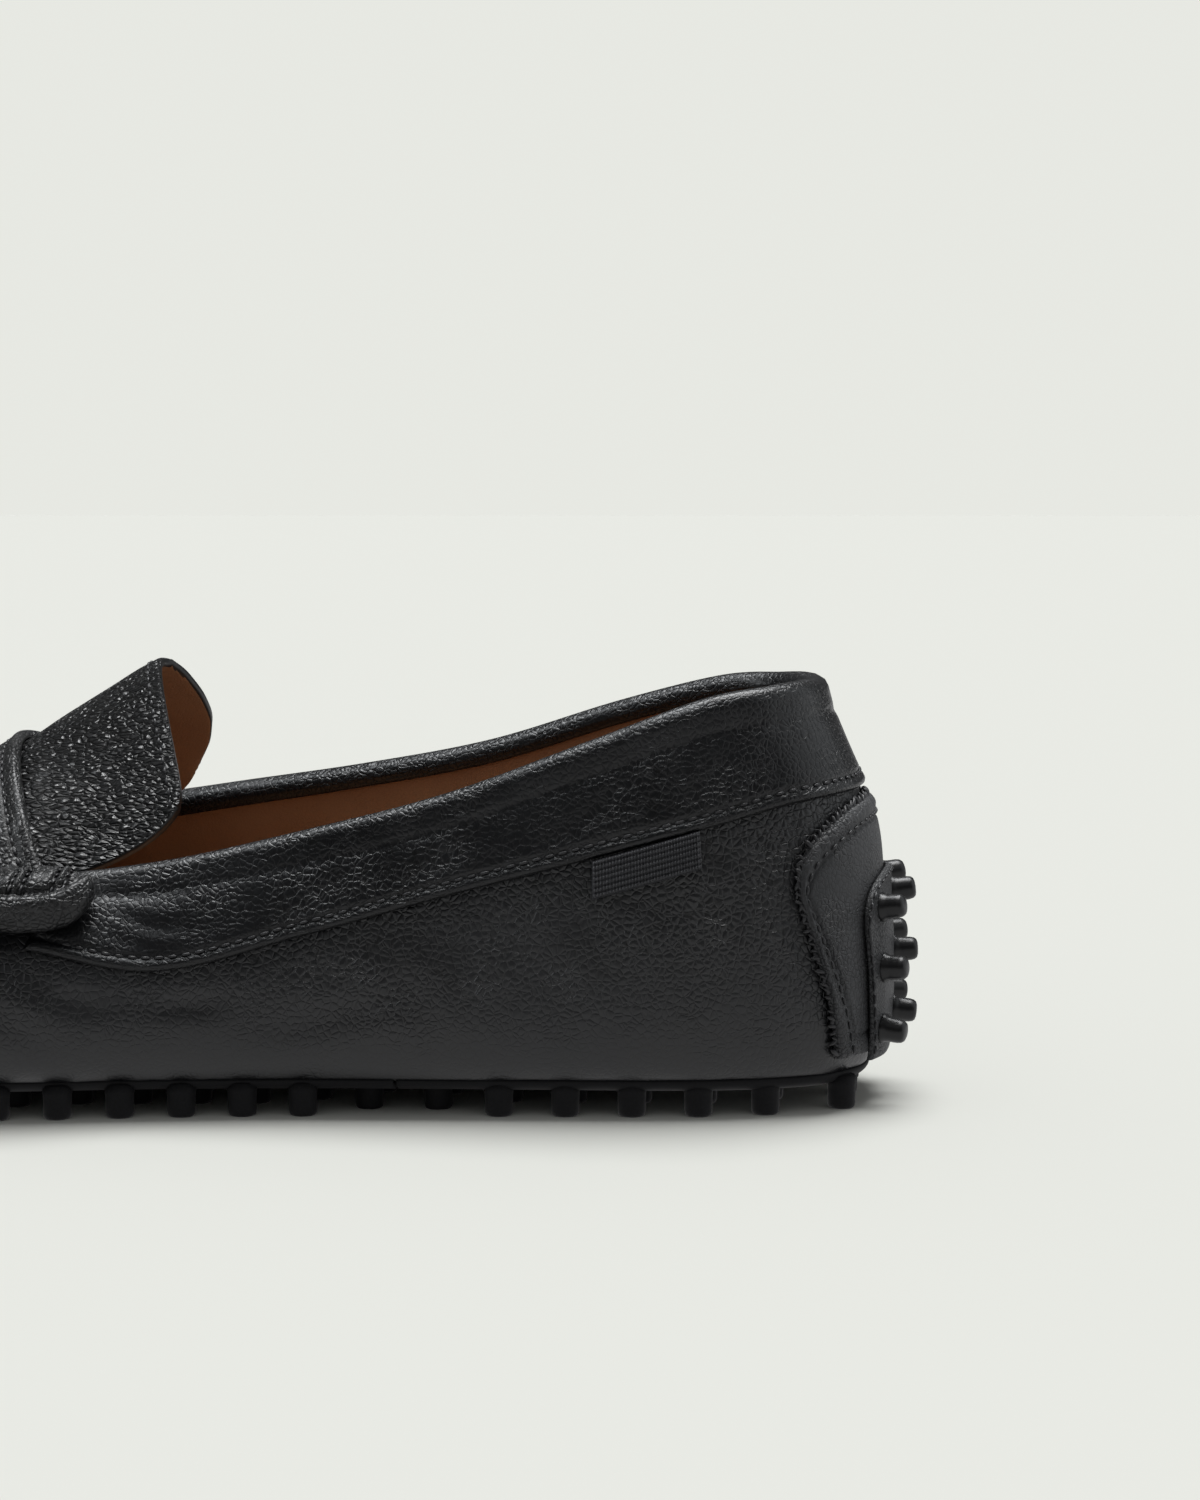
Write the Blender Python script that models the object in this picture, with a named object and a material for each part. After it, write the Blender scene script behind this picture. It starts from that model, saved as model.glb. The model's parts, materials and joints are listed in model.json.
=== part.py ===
# Driving moccasin, left shoe: soft leather uppers on rubber studs.
# Metres. +X towards the toe, +Y towards the outer side of the foot, +Z up, studs standing on Z = 0.
import math

import bmesh
import bpy
import numpy as np
from mathutils import Matrix, Vector
from mathutils.bvhtree import BVHTree

# Driving sizes.
wrap_length = 0.2815
ball_width = 0.1000
back_height = 0.0750

leather_wall = 0.0020
band_thickness = 0.0015
counter_thickness = 0.0012
patch_thickness = 0.0012
pad_thickness = 0.0012
strap_thickness = 0.0016
tongue_thickness = 0.0018
sock_thickness = 0.0022
ribbon_thickness = 0.0012
fit_gap = 0.0003

stud_radius = 0.0025
stud_inset = 0.0065
stud_levelling = 0.0004
heel_stud_pitch = 0.0117
fore_stud_pitch = 0.0105
stud_row_pitch = 0.0133
back_stud_radius = 0.0021
back_stud_height = 0.0040
back_stud_row_gap = 0.139 * back_height
back_stud_low_z = 0.187 * back_height
back_stud_rise = 0.0213 * back_height
heel_overlay_low_z = 0.131 * back_height
patch_low_z = 0.120 * back_height
first_heel_stud_x = 0.0338 * wrap_length
last_heel_stud_x = 0.2785 * wrap_length
unit_joint_x = 0.3005 * wrap_length
first_fore_stud_x = 0.3215 * wrap_length
last_fore_stud_x = 0.9112 * wrap_length

roll_half_height = 0.0064
roll_half_depth = 0.0040
roll_drop = 0.064 * back_height
band_turn_in = 0.0020
ribbon_drop = 0.0066
seam_half_width = 0.0017
seam_height = 0.0015
slot_length = 0.0330
slot_width = 0.0080
slot_bow = 0.0040
slot_ridge_x = 0.588 * wrap_length

stations_around = 30
steps_around = 60
turn_share = 0.4
corner_power = 2.4
ear_rounding = 0.6
pad_turn = 0.39

# Each row is one section of the wrap, heel to toe. Columns: widest point along (share of length),
# across (share of ball width), its height (share of back height), how far the tread is tucked in
# (share of ball width), tread height (share of back height), rim along, rim across, rim height,
# how late the wall leans in, and height of the collar band's lower edge (share of back height).
outer_sections = (
    (0.0107, 0.0000, 0.3200, 0.0420, 0.0800, 0.0483, 0.0000, 0.9720, 1.60, 0.8040),
    (0.0178, 0.1230, 0.3067, 0.0440, 0.0800, 0.0529, 0.1020, 0.9747, 1.60, 0.7920),
    (0.0433, 0.2320, 0.2933, 0.0480, 0.0800, 0.0710, 0.1900, 0.9667, 1.60, 0.7547),
    (0.0995, 0.2980, 0.2800, 0.0540, 0.0800, 0.1119, 0.2500, 0.9387, 1.60, 0.6853),
    (0.1776, 0.3260, 0.2667, 0.0600, 0.0800, 0.1812, 0.2760, 0.8427, 1.60, 0.6040),
    (0.2664, 0.3460, 0.2533, 0.0650, 0.0800, 0.2682, 0.2920, 0.7227, 1.60, 0.5160),
    (0.3552, 0.3700, 0.2533, 0.0700, 0.0800, 0.3552, 0.3080, 0.6373, 1.70, 0.4240),
    (0.4440, 0.4100, 0.2533, 0.0750, 0.0800, 0.4405, 0.3260, 0.5680, 1.85, 0.3467),
    (0.5329, 0.4650, 0.2533, 0.0800, 0.0800, 0.5222, 0.3420, 0.5333, 2.00, 0.4000),
    (0.6217, 0.5000, 0.2533, 0.0850, 0.0800, 0.6039, 0.3500, 0.5413, 2.10, 0.4000),
    (0.7105, 0.4980, 0.2533, 0.0850, 0.0800, 0.6821, 0.3440, 0.5387, 2.10, 0.4000),
    (0.7957, 0.4550, 0.2600, 0.0850, 0.0880, 0.7567, 0.3150, 0.5267, 2.10, 0.4000),
    (0.8739, 0.3750, 0.2733, 0.0850, 0.1120, 0.8224, 0.2600, 0.5133, 2.10, 0.4000),
    (0.9378, 0.2700, 0.2867, 0.0850, 0.1413, 0.8739, 0.1850, 0.4973, 2.10, 0.4000),
    (0.9822, 0.1300, 0.2973, 0.0850, 0.1653, 0.9076, 0.0850, 0.4840, 2.10, 0.4000),
    (1.0000, -0.0300, 0.3040, 0.0850, 0.1733, 0.9218, -0.0250, 0.4800, 2.10, 0.4000),
)
inner_sections = (
    (0.0178, -0.1230, 0.3067, 0.0440, 0.0800, 0.0529, -0.1020, 0.9787, 1.60, 0.7973),
    (0.0433, -0.2280, 0.2933, 0.0480, 0.0800, 0.0710, -0.1880, 0.9733, 1.60, 0.7680),
    (0.0995, -0.2920, 0.2800, 0.0560, 0.0800, 0.1119, -0.2460, 0.9600, 1.60, 0.7147),
    (0.1776, -0.3160, 0.2800, 0.0700, 0.0853, 0.1812, -0.2700, 0.8933, 1.60, 0.6533),
    (0.2664, -0.3220, 0.2933, 0.0900, 0.1013, 0.2682, -0.2800, 0.7920, 1.60, 0.5787),
    (0.3552, -0.3320, 0.2933, 0.1000, 0.1120, 0.3552, -0.2900, 0.7280, 1.70, 0.4933),
    (0.4440, -0.3680, 0.2800, 0.0950, 0.1013, 0.4405, -0.3040, 0.6800, 1.85, 0.4200),
    (0.5329, -0.4150, 0.2667, 0.0900, 0.0853, 0.5222, -0.3200, 0.6347, 2.00, 0.4533),
    (0.6217, -0.4700, 0.2533, 0.0850, 0.0800, 0.6039, -0.3340, 0.5973, 2.10, 0.4000),
    (0.7105, -0.5000, 0.2533, 0.0850, 0.0800, 0.6821, -0.3420, 0.5627, 2.10, 0.4000),
    (0.7957, -0.4760, 0.2600, 0.0850, 0.0880, 0.7567, -0.3240, 0.5333, 2.10, 0.4000),
    (0.8739, -0.4140, 0.2733, 0.0850, 0.1120, 0.8224, -0.2800, 0.5147, 2.10, 0.4000),
    (0.9378, -0.3220, 0.2867, 0.0850, 0.1413, 0.8739, -0.2150, 0.4973, 2.10, 0.4000),
    (0.9822, -0.1950, 0.2973, 0.0850, 0.1653, 0.9076, -0.1300, 0.4840, 2.10, 0.4000),
)
# Tongue rows behind the strap: ridge along and height, then the outer edge and the inner edge
# (along, across, height), in the same shares.
tongue_rows = (
    (0.4714, 1.0427, 0.4352, 0.2700, 0.7200, 0.4440, -0.2560, 0.7667),
    (0.4867, 1.0120, 0.4440, 0.2750, 0.6600, 0.4512, -0.2580, 0.7200),
    (0.5044, 0.9693, 0.4618, 0.2800, 0.6067, 0.4689, -0.2600, 0.6800),
    (0.5222, 0.9280, 0.4867, 0.2880, 0.5680, 0.4902, -0.2680, 0.6520),
    (0.5382, 0.8907, 0.5062, 0.3100, 0.5467, 0.5080, -0.2880, 0.6400),
)
# Apron rows from the strap to the toe: ridge along and height, and the station of the rim they meet.
apron_rows = (
    (0.5524, 0.8533, 8.00),
    (0.5719, 0.8093, 8.35),
    (0.5968, 0.7547, 8.75),
    (0.6252, 0.6987, 9.15),
    (0.6607, 0.6560, 9.60),
    (0.7034, 0.6267, 10.15),
    (0.7531, 0.6080, 10.80),
    (0.8028, 0.5853, 11.50),
    (0.8490, 0.5533, 12.30),
    (0.8845, 0.5227, 13.20),
    (0.9076, 0.4973, 14.10),
    (0.9208, 0.4840, 15.00),
)

# Where the back studs' columns stand, in stations from the middle of the heel.
back_stud_columns = (0.854, -0.041, -0.935)
# Heel overlays: half width in stations against the share climbed, and top edge as a share of back
# height against the share of half width.
counter_halves = ((0.0, 0.2, 0.4, 0.6, 0.8, 1.0), (1.75, 1.84, 1.94, 2.07, 2.18, 2.21))
counter_tops = ((0.0, 0.3, 0.5, 0.7, 0.85, 1.0), (0.723, 0.718, 0.705, 0.681, 0.648, 0.580))
patch_halves = ((0.0, 1.0), (1.22, 1.32))
patch_tops = ((0.0, 0.5, 0.8, 1.0), (0.549, 0.545, 0.527, 0.487))

column_scale = np.array(
    [wrap_length, ball_width, back_height, ball_width, back_height]
    + [wrap_length, ball_width, back_height, 1.0, back_height]
)
section_loop = np.array(outer_sections + inner_sections[::-1]) * column_scale


def clear_scene():
    for item in list(bpy.data.objects):
        bpy.data.objects.remove(item, do_unlink=True)


def section_at(stations):
    stations = np.asarray(stations, dtype=float) % stations_around
    base = np.floor(stations).astype(int)
    part = (stations - base)[..., None]
    before = section_loop[(base - 1) % stations_around]
    here = section_loop[base % stations_around]
    after = section_loop[(base + 1) % stations_around]
    beyond = section_loop[(base + 2) % stations_around]
    return 0.5 * (
        2 * here
        + (after - before) * part
        + (2 * before - 5 * here + 4 * after - beyond) * part**2
        + (3 * here - before - 3 * after + beyond) * part**3
    )


def wrap_point(stations, turn):
    stations, turn = np.broadcast_arrays(np.asarray(stations, float), np.asarray(turn, float))
    row = section_at(stations)
    ahead = section_at(stations + 0.02)[..., :2]
    behind = section_at(stations - 0.02)[..., :2]
    tangent = ahead - behind
    tangent /= np.linalg.norm(tangent, axis=-1, keepdims=True)
    outward = np.stack([-tangent[..., 1], tangent[..., 0]], axis=-1)
    angle = np.clip(turn / turn_share, 0, 1) * math.pi / 2
    tuck = row[..., 3] * (1 - np.sin(angle) ** (2 / corner_power))
    low_z = row[..., 4] + (row[..., 2] - row[..., 4]) * (1 - np.clip(np.cos(angle), 0, 1) ** (2 / corner_power))
    climb = np.clip((turn - turn_share) / (1 - turn_share), 0, 1)
    lean = climb ** row[..., 8]
    plan = row[..., :2] - outward * tuck[..., None]
    plan = plan + (row[..., 5:7] - row[..., :2]) * lean[..., None]
    height = low_z + (row[..., 7] - row[..., 2]) * climb
    return np.concatenate([plan, height[..., None]], axis=-1)


def wrap_normal(stations, turn):
    stations, turn = np.broadcast_arrays(np.asarray(stations, float), np.asarray(turn, float))
    low = np.clip(turn - 0.004, 0, 1)
    high = np.clip(turn + 0.004, 0, 1)
    up = wrap_point(stations, high) - wrap_point(stations, low)
    along = wrap_point(stations + 0.03, turn) - wrap_point(stations - 0.03, turn)
    normal = np.cross(up, along)
    return normal / np.linalg.norm(normal, axis=-1, keepdims=True)


def wrap_offset(stations, turn, distance):
    distance = np.asarray(distance, float)
    return wrap_point(stations, turn) + wrap_normal(stations, turn) * distance[..., None]


def turn_at_height(stations, height):
    row = section_at(stations)
    climb = (height - row[..., 2]) / (row[..., 7] - row[..., 2])
    share = np.clip((height - row[..., 4]) / (row[..., 2] - row[..., 4]), 0, 1)
    angle = np.arccos(np.clip(1 - share, 0, 1) ** (corner_power / 2))
    low = turn_share * angle / (math.pi / 2)
    high = turn_share + (1 - turn_share) * climb
    return np.where(height >= row[..., 2], high, low)


def grid_normals(grid):
    across = np.gradient(grid, axis=1)
    along = np.gradient(grid, axis=0)
    normal = np.cross(along, across)
    length = np.linalg.norm(normal, axis=-1, keepdims=True)
    return normal / np.maximum(length, 1e-12)


def make_material(name, colour, roughness):
    material = bpy.data.materials.new(name)
    material.use_nodes = True
    shader = material.node_tree.nodes["Principled BSDF"]
    shader.inputs["Base Color"].default_value = (*colour, 1.0)
    shader.inputs["Roughness"].default_value = roughness
    material.diffuse_color = (*colour, 1.0)
    return material


def make_object(name, points, faces, collection, material):
    mesh = bpy.data.meshes.new(name)
    mesh.from_pydata([tuple(point) for point in points], [], faces)
    work = bmesh.new()
    work.from_mesh(mesh)
    bmesh.ops.remove_doubles(work, verts=work.verts, dist=1e-6)
    bmesh.ops.triangulate(work, faces=work.faces)
    bmesh.ops.recalc_face_normals(work, faces=work.faces)
    if work.calc_volume(signed=True) < 0:
        bmesh.ops.reverse_faces(work, faces=work.faces)
    work.to_mesh(mesh)
    work.free()
    mesh.shade_smooth()
    if material:
        mesh.materials.append(material)
    item = bpy.data.objects.new(name, mesh)
    collection.objects.link(item)
    return item


def add_grid(points, faces, grid):
    start = len(points)
    rows, columns = grid.shape[:2]
    points.extend(grid.reshape(-1, 3))
    for row in range(rows - 1):
        for place in range(columns - 1):
            first = start + row * columns + place
            faces.append((first, first + 1, first + columns + 1, first + columns))


def sheet_solid(name, under, over, collection, material):
    """Closed solid between two matching grids of points."""
    points, faces = [], []
    add_grid(points, faces, under)
    add_grid(points, faces, over)
    for edge in (np.s_[0, :], np.s_[-1, :], np.s_[:, 0], np.s_[:, -1]):
        add_grid(points, faces, np.stack([under[edge], over[edge]]))
    return make_object(name, points, faces, collection, material)


def bowl_grids(distance, top_turn, wall_rows, floor_columns):
    stations = np.arange(steps_around + 1) * stations_around / steps_around
    turns = np.linspace(0, top_turn, wall_rows + 1)
    wall = wrap_offset(stations[None, :], turns[:, None], np.full((1, 1), distance))
    half = steps_around // 2
    outer_edge = wall[0, : half + 1]
    inner_edge = wall[0, half:][::-1]
    shares = np.linspace(0, 1, floor_columns + 1)[None, :, None]
    floor = outer_edge[:, None, :] * (1 - shares) + inner_edge[:, None, :] * shares
    return wall, floor


def bowl_solid(name, low_distance, high_distance, top_turn, wall_rows, floor_columns, collection, material):
    points, faces = [], []
    edges = []
    for distance in (low_distance, high_distance):
        wall, floor = bowl_grids(distance, top_turn, wall_rows, floor_columns)
        if wall_rows:
            add_grid(points, faces, wall)
        add_grid(points, faces, floor)
        edges.append(wall[-1])
    add_grid(points, faces, np.stack(edges))
    return make_object(name, points, faces, collection, material)


def arch_row(outer_edge, ridge, inner_edge, power, columns):
    shares = np.linspace(-1, 1, columns)
    row = np.empty((columns, 3))
    for place, share in enumerate(shares):
        edge = inner_edge if share < 0 else outer_edge
        spread = math.sin(abs(share) * math.pi / 2)
        row[place, 0] = ridge[0] + (edge[0] - ridge[0]) * spread**1.6
        row[place, 1] = ridge[1] + (edge[1] - ridge[1]) * spread
        row[place, 2] = ridge[2] + (edge[2] - ridge[2]) * spread**power
    return row


def rim_joint(station):
    direction = wrap_point(station, 1.0) - wrap_point(station, 0.97)
    direction /= np.linalg.norm(direction)
    return wrap_point(station, 1.0) + direction * 2.2 * fit_gap


def apron_surface(columns):
    rows = []
    for along, height, *edges in tongue_rows:
        scale = np.array([wrap_length, ball_width, back_height])
        outer_edge = np.array(edges[:3]) * scale
        inner_edge = np.array(edges[3:]) * scale
        ridge = np.array([along * wrap_length, 0.0, height * back_height])
        rows.append(arch_row(outer_edge, ridge, inner_edge, 1.85, columns))
    last = len(apron_rows) - 1
    for place, (along, height, station) in enumerate(apron_rows):
        outer_edge = rim_joint(station)
        inner_edge = rim_joint(stations_around - station)
        middle = 0.5 * (outer_edge[1] + inner_edge[1])
        ridge = np.array([along * wrap_length, middle, height * back_height])
        power = 1.95 + 0.25 * min(place, 4) / 4
        if place == last:
            ridge = outer_edge
        rows.append(arch_row(outer_edge, ridge, inner_edge, power, columns))
    surface = np.array(rows)
    for end, inside in ((0, 1), (-1, -2)):
        neighbours = 0.5 * (surface[0, inside] + surface[1, end])
        surface[0, end] = (1 - ear_rounding) * surface[0, end] + ear_rounding * neighbours
    return surface


def apron_at(surface, places):
    places = np.asarray(places, float)
    base = np.clip(np.floor(places).astype(int), 0, len(surface) - 2)
    part = (places - base)[:, None, None]
    return surface[base] * (1 - part) + surface[base + 1] * part


def stud_mesh(points, faces, centre, axis, radius, reach, root, sides):
    """One stud: a column from its root to its flat end, with a small chamfer."""
    axis = Vector(axis).normalized()
    side = axis.orthogonal().normalized()
    other = axis.cross(side)
    start = len(points)
    rings = ((root, 1.0), (reach, 1.0))
    for distance, scale in rings:
        for place in range(sides):
            angle = 2 * math.pi * (place + 0.5) / sides
            spoke = side * math.cos(angle) + other * math.sin(angle)
            points.append(tuple(Vector(centre) + axis * distance + spoke * radius * scale))
    for place in range(sides):
        following = (place + 1) % sides
        faces.append((start + place, start + following, start + sides + following, start + sides + place))
    faces.append(tuple(start + place for place in range(sides)))
    faces.append(tuple(start + sides + place for place in range(sides)))


def tread_edges(x):
    """Widest outer and inner points of the wrap, and its tread height, at one place along."""
    outer = section_at(np.linspace(0, 15, 151))
    inner = section_at(np.linspace(30, 15, 151))
    wide_outer = np.interp(x, outer[:, 0], outer[:, 1])
    wide_inner = np.interp(x, inner[:, 0], inner[:, 1])
    tread_outer = np.interp(x, outer[:, 0], outer[:, 4])
    tread_inner = np.interp(x, inner[:, 0], inner[:, 4])
    return wide_outer, wide_inner, tread_outer, tread_inner


def stud_places(first_x, last_x, pitch, short_first, short_last):
    count = int(round((last_x - first_x) / pitch)) + 1
    places = []
    for number, x in enumerate(np.linspace(first_x, last_x, count)):
        wide_outer, wide_inner, tread_outer, tread_inner = tread_edges(x)
        share = 1.0
        if short_first and number == 0 or short_last and number == count - 1:
            share = 0.78
        high = (wide_outer - stud_inset) * share
        low = (wide_inner + stud_inset) * share
        across = max(2, int(round((high - low) / stud_row_pitch)) + 1)
        for y in np.linspace(low, high, across):
            blend = (y - low) / (high - low)
            rise = tread_inner + (tread_outer - tread_inner) * blend - section_loop[0, 4]
            places.append((x, y, max(0.0, rise - stud_levelling)))
    return places


def stud_group(name, places, root_tree, collection):
    points, faces = [], []
    for x, y, rise in places:
        hit = root_tree.ray_cast(Vector((x, y, -back_height)), Vector((0, 0, 1)))[0]
        stud_mesh(points, faces, (x, y, 0.0), (0, 0, -1), stud_radius, -rise, -hit.z, 6)
    return make_object(name, points, faces, collection, None)


def bowl_tree(distance):
    wall, floor = bowl_grids(distance, turn_share * pad_turn, 3, 8)
    points, faces = [], []
    add_grid(points, faces, wall)
    add_grid(points, faces, floor)
    return BVHTree.FromPolygons([tuple(point) for point in points], faces)


def box_cutter(name, low, high, collection):
    corners = [(x, y, z) for x in (low[0], high[0]) for y in (low[1], high[1]) for z in (low[2], high[2])]
    sides = [(0, 1, 3, 2), (4, 6, 7, 5), (0, 4, 5, 1), (2, 3, 7, 6), (0, 2, 6, 4), (1, 5, 7, 3)]
    return make_object(name, corners, sides, collection, None)


def add_boolean(item, other, operation):
    modifier = item.modifiers.new(operation.lower() + "_" + other.name, "BOOLEAN")
    modifier.operation = operation
    modifier.solver = "EXACT"
    modifier.object = other


def settle(item):
    """Replaces an object's mesh by its evaluated one, in triangles, and drops its modifiers."""
    graph = bpy.context.evaluated_depsgraph_get()
    done = bpy.data.meshes.new_from_object(item.evaluated_get(graph))
    item.modifiers.clear()
    old = item.data
    item.data = done
    bpy.data.meshes.remove(old)
    work = bmesh.new()
    work.from_mesh(done)
    bmesh.ops.remove_doubles(work, verts=work.verts, dist=1e-6)
    bmesh.ops.triangulate(work, faces=work.faces)
    work.to_mesh(done)
    work.free()
    done.shade_smooth()


def pad_units(shoe, cutters, material):
    far = 2 * wrap_length
    tree = bowl_tree(fit_gap + 0.5 * pad_thickness)
    heel_places = stud_places(first_heel_stud_x, last_heel_stud_x, heel_stud_pitch, False, True)
    fore_places = stud_places(first_fore_stud_x, last_fore_stud_x, fore_stud_pitch, True, False)
    groups = (
        ("outsole_heel", (-far, unit_joint_x - fit_gap), heel_places),
        ("outsole_forefoot", (unit_joint_x + fit_gap, far), fore_places),
    )
    for name, (low_x, high_x), places in groups:
        pad = bowl_solid(
            name, fit_gap, fit_gap + pad_thickness, turn_share * pad_turn, 2, 4, shoe, material
        )
        keep = box_cutter(name + "_span", (low_x, -far, -far), (high_x, far, far), cutters)
        studs = stud_group(name + "_studs", places, tree, cutters)
        add_boolean(pad, keep, "INTERSECT")
        add_boolean(pad, studs, "UNION")
        settle(pad)


def collar_band(shoe, material):
    ends = 7.9
    shares = np.linspace(-1, 1, 45)
    path_rows = []
    wall_steps = np.linspace(0, 1, 6)
    for share in shares:
        station_low = share * ends
        station_top = share * (ends - 0.42)
        under = []
        for step in wall_steps:
            station = station_low + (station_top - station_low) * step
            low_turn = turn_at_height(station, section_at(station)[9])
            turn = low_turn + (1 - low_turn) * step
            under.append(wrap_offset(station, turn, fit_gap))
        rim = wrap_point(station_top, 1.0)
        normal = wrap_normal(station_top, 1.0)
        up = rim - wrap_point(station_top, 0.97)
        up /= np.linalg.norm(up)
        under.append(rim + up * fit_gap - normal * 0.1 * leather_wall)
        under.append(rim + up * fit_gap - normal * 0.9 * leather_wall)
        drop = section_at(station_top)[7] - band_turn_in
        for share_in in (0.0, 0.5, 1.0):
            turn = 1 + (turn_at_height(station_top, drop) - 1) * share_in
            under.append(wrap_offset(station_top, turn, -leather_wall - fit_gap))
        path_rows.append(under)
    under = np.array(path_rows)
    normals = grid_normals(under)
    toward = wrap_normal(0.0, 0.6)
    if np.dot(normals[len(shares) // 2, 2], toward) < 0:
        normals = -normals
    return sheet_solid("collar_band", under, under + normals * band_thickness, shoe, material)


def heel_overlay(name, half_table, top_table, sizes, columns, rows, shoe, material):
    low_z, distance, thickness = sizes
    shares = np.linspace(-1, 1, columns)
    climbs = np.linspace(0, 1, rows)
    halves = np.interp(climbs, half_table[0], half_table[1])
    tops = np.interp(np.abs(shares), top_table[0], top_table[1]) * back_height
    stations = halves[:, None] * shares[None, :]
    heights = low_z + climbs[:, None] * (tops[None, :] - low_z)
    turns = turn_at_height(stations, heights)
    under = wrap_offset(stations, turns, np.full((1, 1), distance))
    over = wrap_offset(stations, turns, np.full((1, 1), distance + thickness))
    return sheet_solid(name, under, over, shoe, material)


def back_studs(cutters, distance):
    points, faces = [], []
    for number, station in enumerate(back_stud_columns):
        for row in range(3):
            height = back_stud_low_z + row * back_stud_row_gap + number * back_stud_rise
            turn = turn_at_height(station, height)
            root = wrap_point(station, turn)
            normal = wrap_normal(station, turn)
            reach = distance + patch_thickness + back_stud_height
            stud_mesh(points, faces, root, normal, back_stud_radius, reach, distance + 0.5 * patch_thickness, 8)
    return make_object("heel_patch_studs", points, faces, cutters, None)


def strap(shoe, cutters, surface, material):
    rows = apron_at(surface, np.linspace(5.35, 7.95, 9))
    normals = grid_normals(rows)
    if normals[4, rows.shape[1] // 2, 2] < 0:
        normals = -normals
    arch = rows + normals * fit_gap
    stations = np.interp(np.linspace(5.35, 7.95, 9), np.arange(5, 9), [row[2] for row in apron_rows[:4]])
    outer_tail, inner_tail = [], []
    for station in stations:
        outer_tail.append([wrap_offset(station, turn, fit_gap) for turn in (0.9, 0.8)])
        inner_tail.append([wrap_offset(-station, turn, fit_gap) for turn in (0.8, 0.9)])
    under = np.concatenate([np.array(inner_tail), arch, np.array(outer_tail)], axis=1)
    normals = grid_normals(under)
    if normals[4, under.shape[1] // 2, 2] < 0:
        normals = -normals
    item = sheet_solid("saddle_strap", under, under + normals * strap_thickness, shoe, material)
    points, faces = [], []
    sides = 20
    for z in (0.3 * back_height, 1.5 * back_height):
        for place in range(sides):
            angle = 2 * math.pi * place / sides
            across = 0.5 * slot_length * math.cos(angle)
            swell = 0.5 * slot_width * math.sin(angle)
            drift = slot_bow * math.cos(angle) ** 2
            points.append((slot_ridge_x + swell - drift, across, z))
    for place in range(sides):
        following = (place + 1) % sides
        faces.append((place, following, sides + following, sides + place))
    faces.append(tuple(range(sides)))
    faces.append(tuple(range(sides, 2 * sides)))
    slot = make_object("saddle_slot", points, faces, cutters, None)
    add_boolean(item, slot, "DIFFERENCE")
    settle(item)


def beef_roll(name, side, shoe, material):
    rings = 13
    sides = 12
    points, faces = [], []
    clearance = 3 * fit_gap + strap_thickness + roll_half_depth
    for ring, share in enumerate(np.linspace(-1, 1, rings)):
        station = side * (8.15 + 0.70 * share)
        rim_z = section_at(station)[7]
        turn = turn_at_height(station, rim_z - roll_drop)
        centre = wrap_offset(station, turn, clearance)
        outward = wrap_normal(station, turn)
        up = wrap_point(station, turn + 0.02) - wrap_point(station, turn - 0.02)
        up /= np.linalg.norm(up)
        size = max(0.05, 1 - abs(share) ** 5) ** 0.5
        for place in range(sides):
            angle = 2 * math.pi * place / sides
            spoke = up * roll_half_height * math.cos(angle) + outward * roll_half_depth * math.sin(angle)
            points.append(tuple(centre + spoke * size))
    for ring in range(rings - 1):
        for place in range(sides):
            following = (place + 1) % sides
            start = ring * sides
            faces.append((start + place, start + following, start + sides + following, start + sides + place))
    faces.append(tuple(range(sides)))
    faces.append(tuple(range((rings - 1) * sides, rings * sides)))
    return make_object(name, points, faces, shoe, material)


def toe_seam(shoe, material):
    """Raised seam over the joint of wrap and apron, from one roll round the toe to the other."""
    stations = np.linspace(9.25, 20.75, 47)
    rim = wrap_point(stations, 1.0)
    inward = rim - wrap_point(stations, 0.97)
    inward /= np.linalg.norm(inward, axis=-1, keepdims=True)
    outward = wrap_normal(stations, 1.0)
    middle = rim + inward * 1.1 * fit_gap
    under, over = [], []
    for share in (-1.0, -0.55, 0.0, 0.55, 1.0):
        swell = seam_height * (0.35 + 0.65 * (1 - share**2))
        base = middle + inward * share * seam_half_width + outward * 1.4 * fit_gap
        under.append(base)
        over.append(base + outward * swell)
    under = np.array(under)
    over = np.array(over)
    return sheet_solid("toe_seam", under, over, shoe, material)


def ribbon(shoe, material):
    stations = np.linspace(3.14, 4.0, 9)[None, :]
    band_low = section_at(stations)[..., 9]
    climbs = np.linspace(0, 1, 4)[:, None]
    heights = band_low - 1.4 * fit_gap - ribbon_drop * (1 - climbs)
    turns = turn_at_height(stations, heights)
    under = wrap_offset(stations, turns, np.full((1, 1), fit_gap))
    over = wrap_offset(stations, turns, np.full((1, 1), fit_gap + ribbon_thickness))
    return sheet_solid("ribbon_tab", under, over, shoe, material)


def centre_all(shoe):
    """Puts the middle of the whole shoe's box over the origin, with the studs left at Z = 0."""
    corners = np.array([tuple(point.co) for item in shoe.objects for point in item.data.vertices])
    middle = 0.5 * (corners.min(axis=0) + corners.max(axis=0))
    for item in shoe.objects:
        item.data.transform(Matrix.Translation((-middle[0], -middle[1], -corners[:, 2].min())))
    print("moved by", -middle[0], -middle[1], "size", corners.max(axis=0) - corners.min(axis=0))


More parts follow.
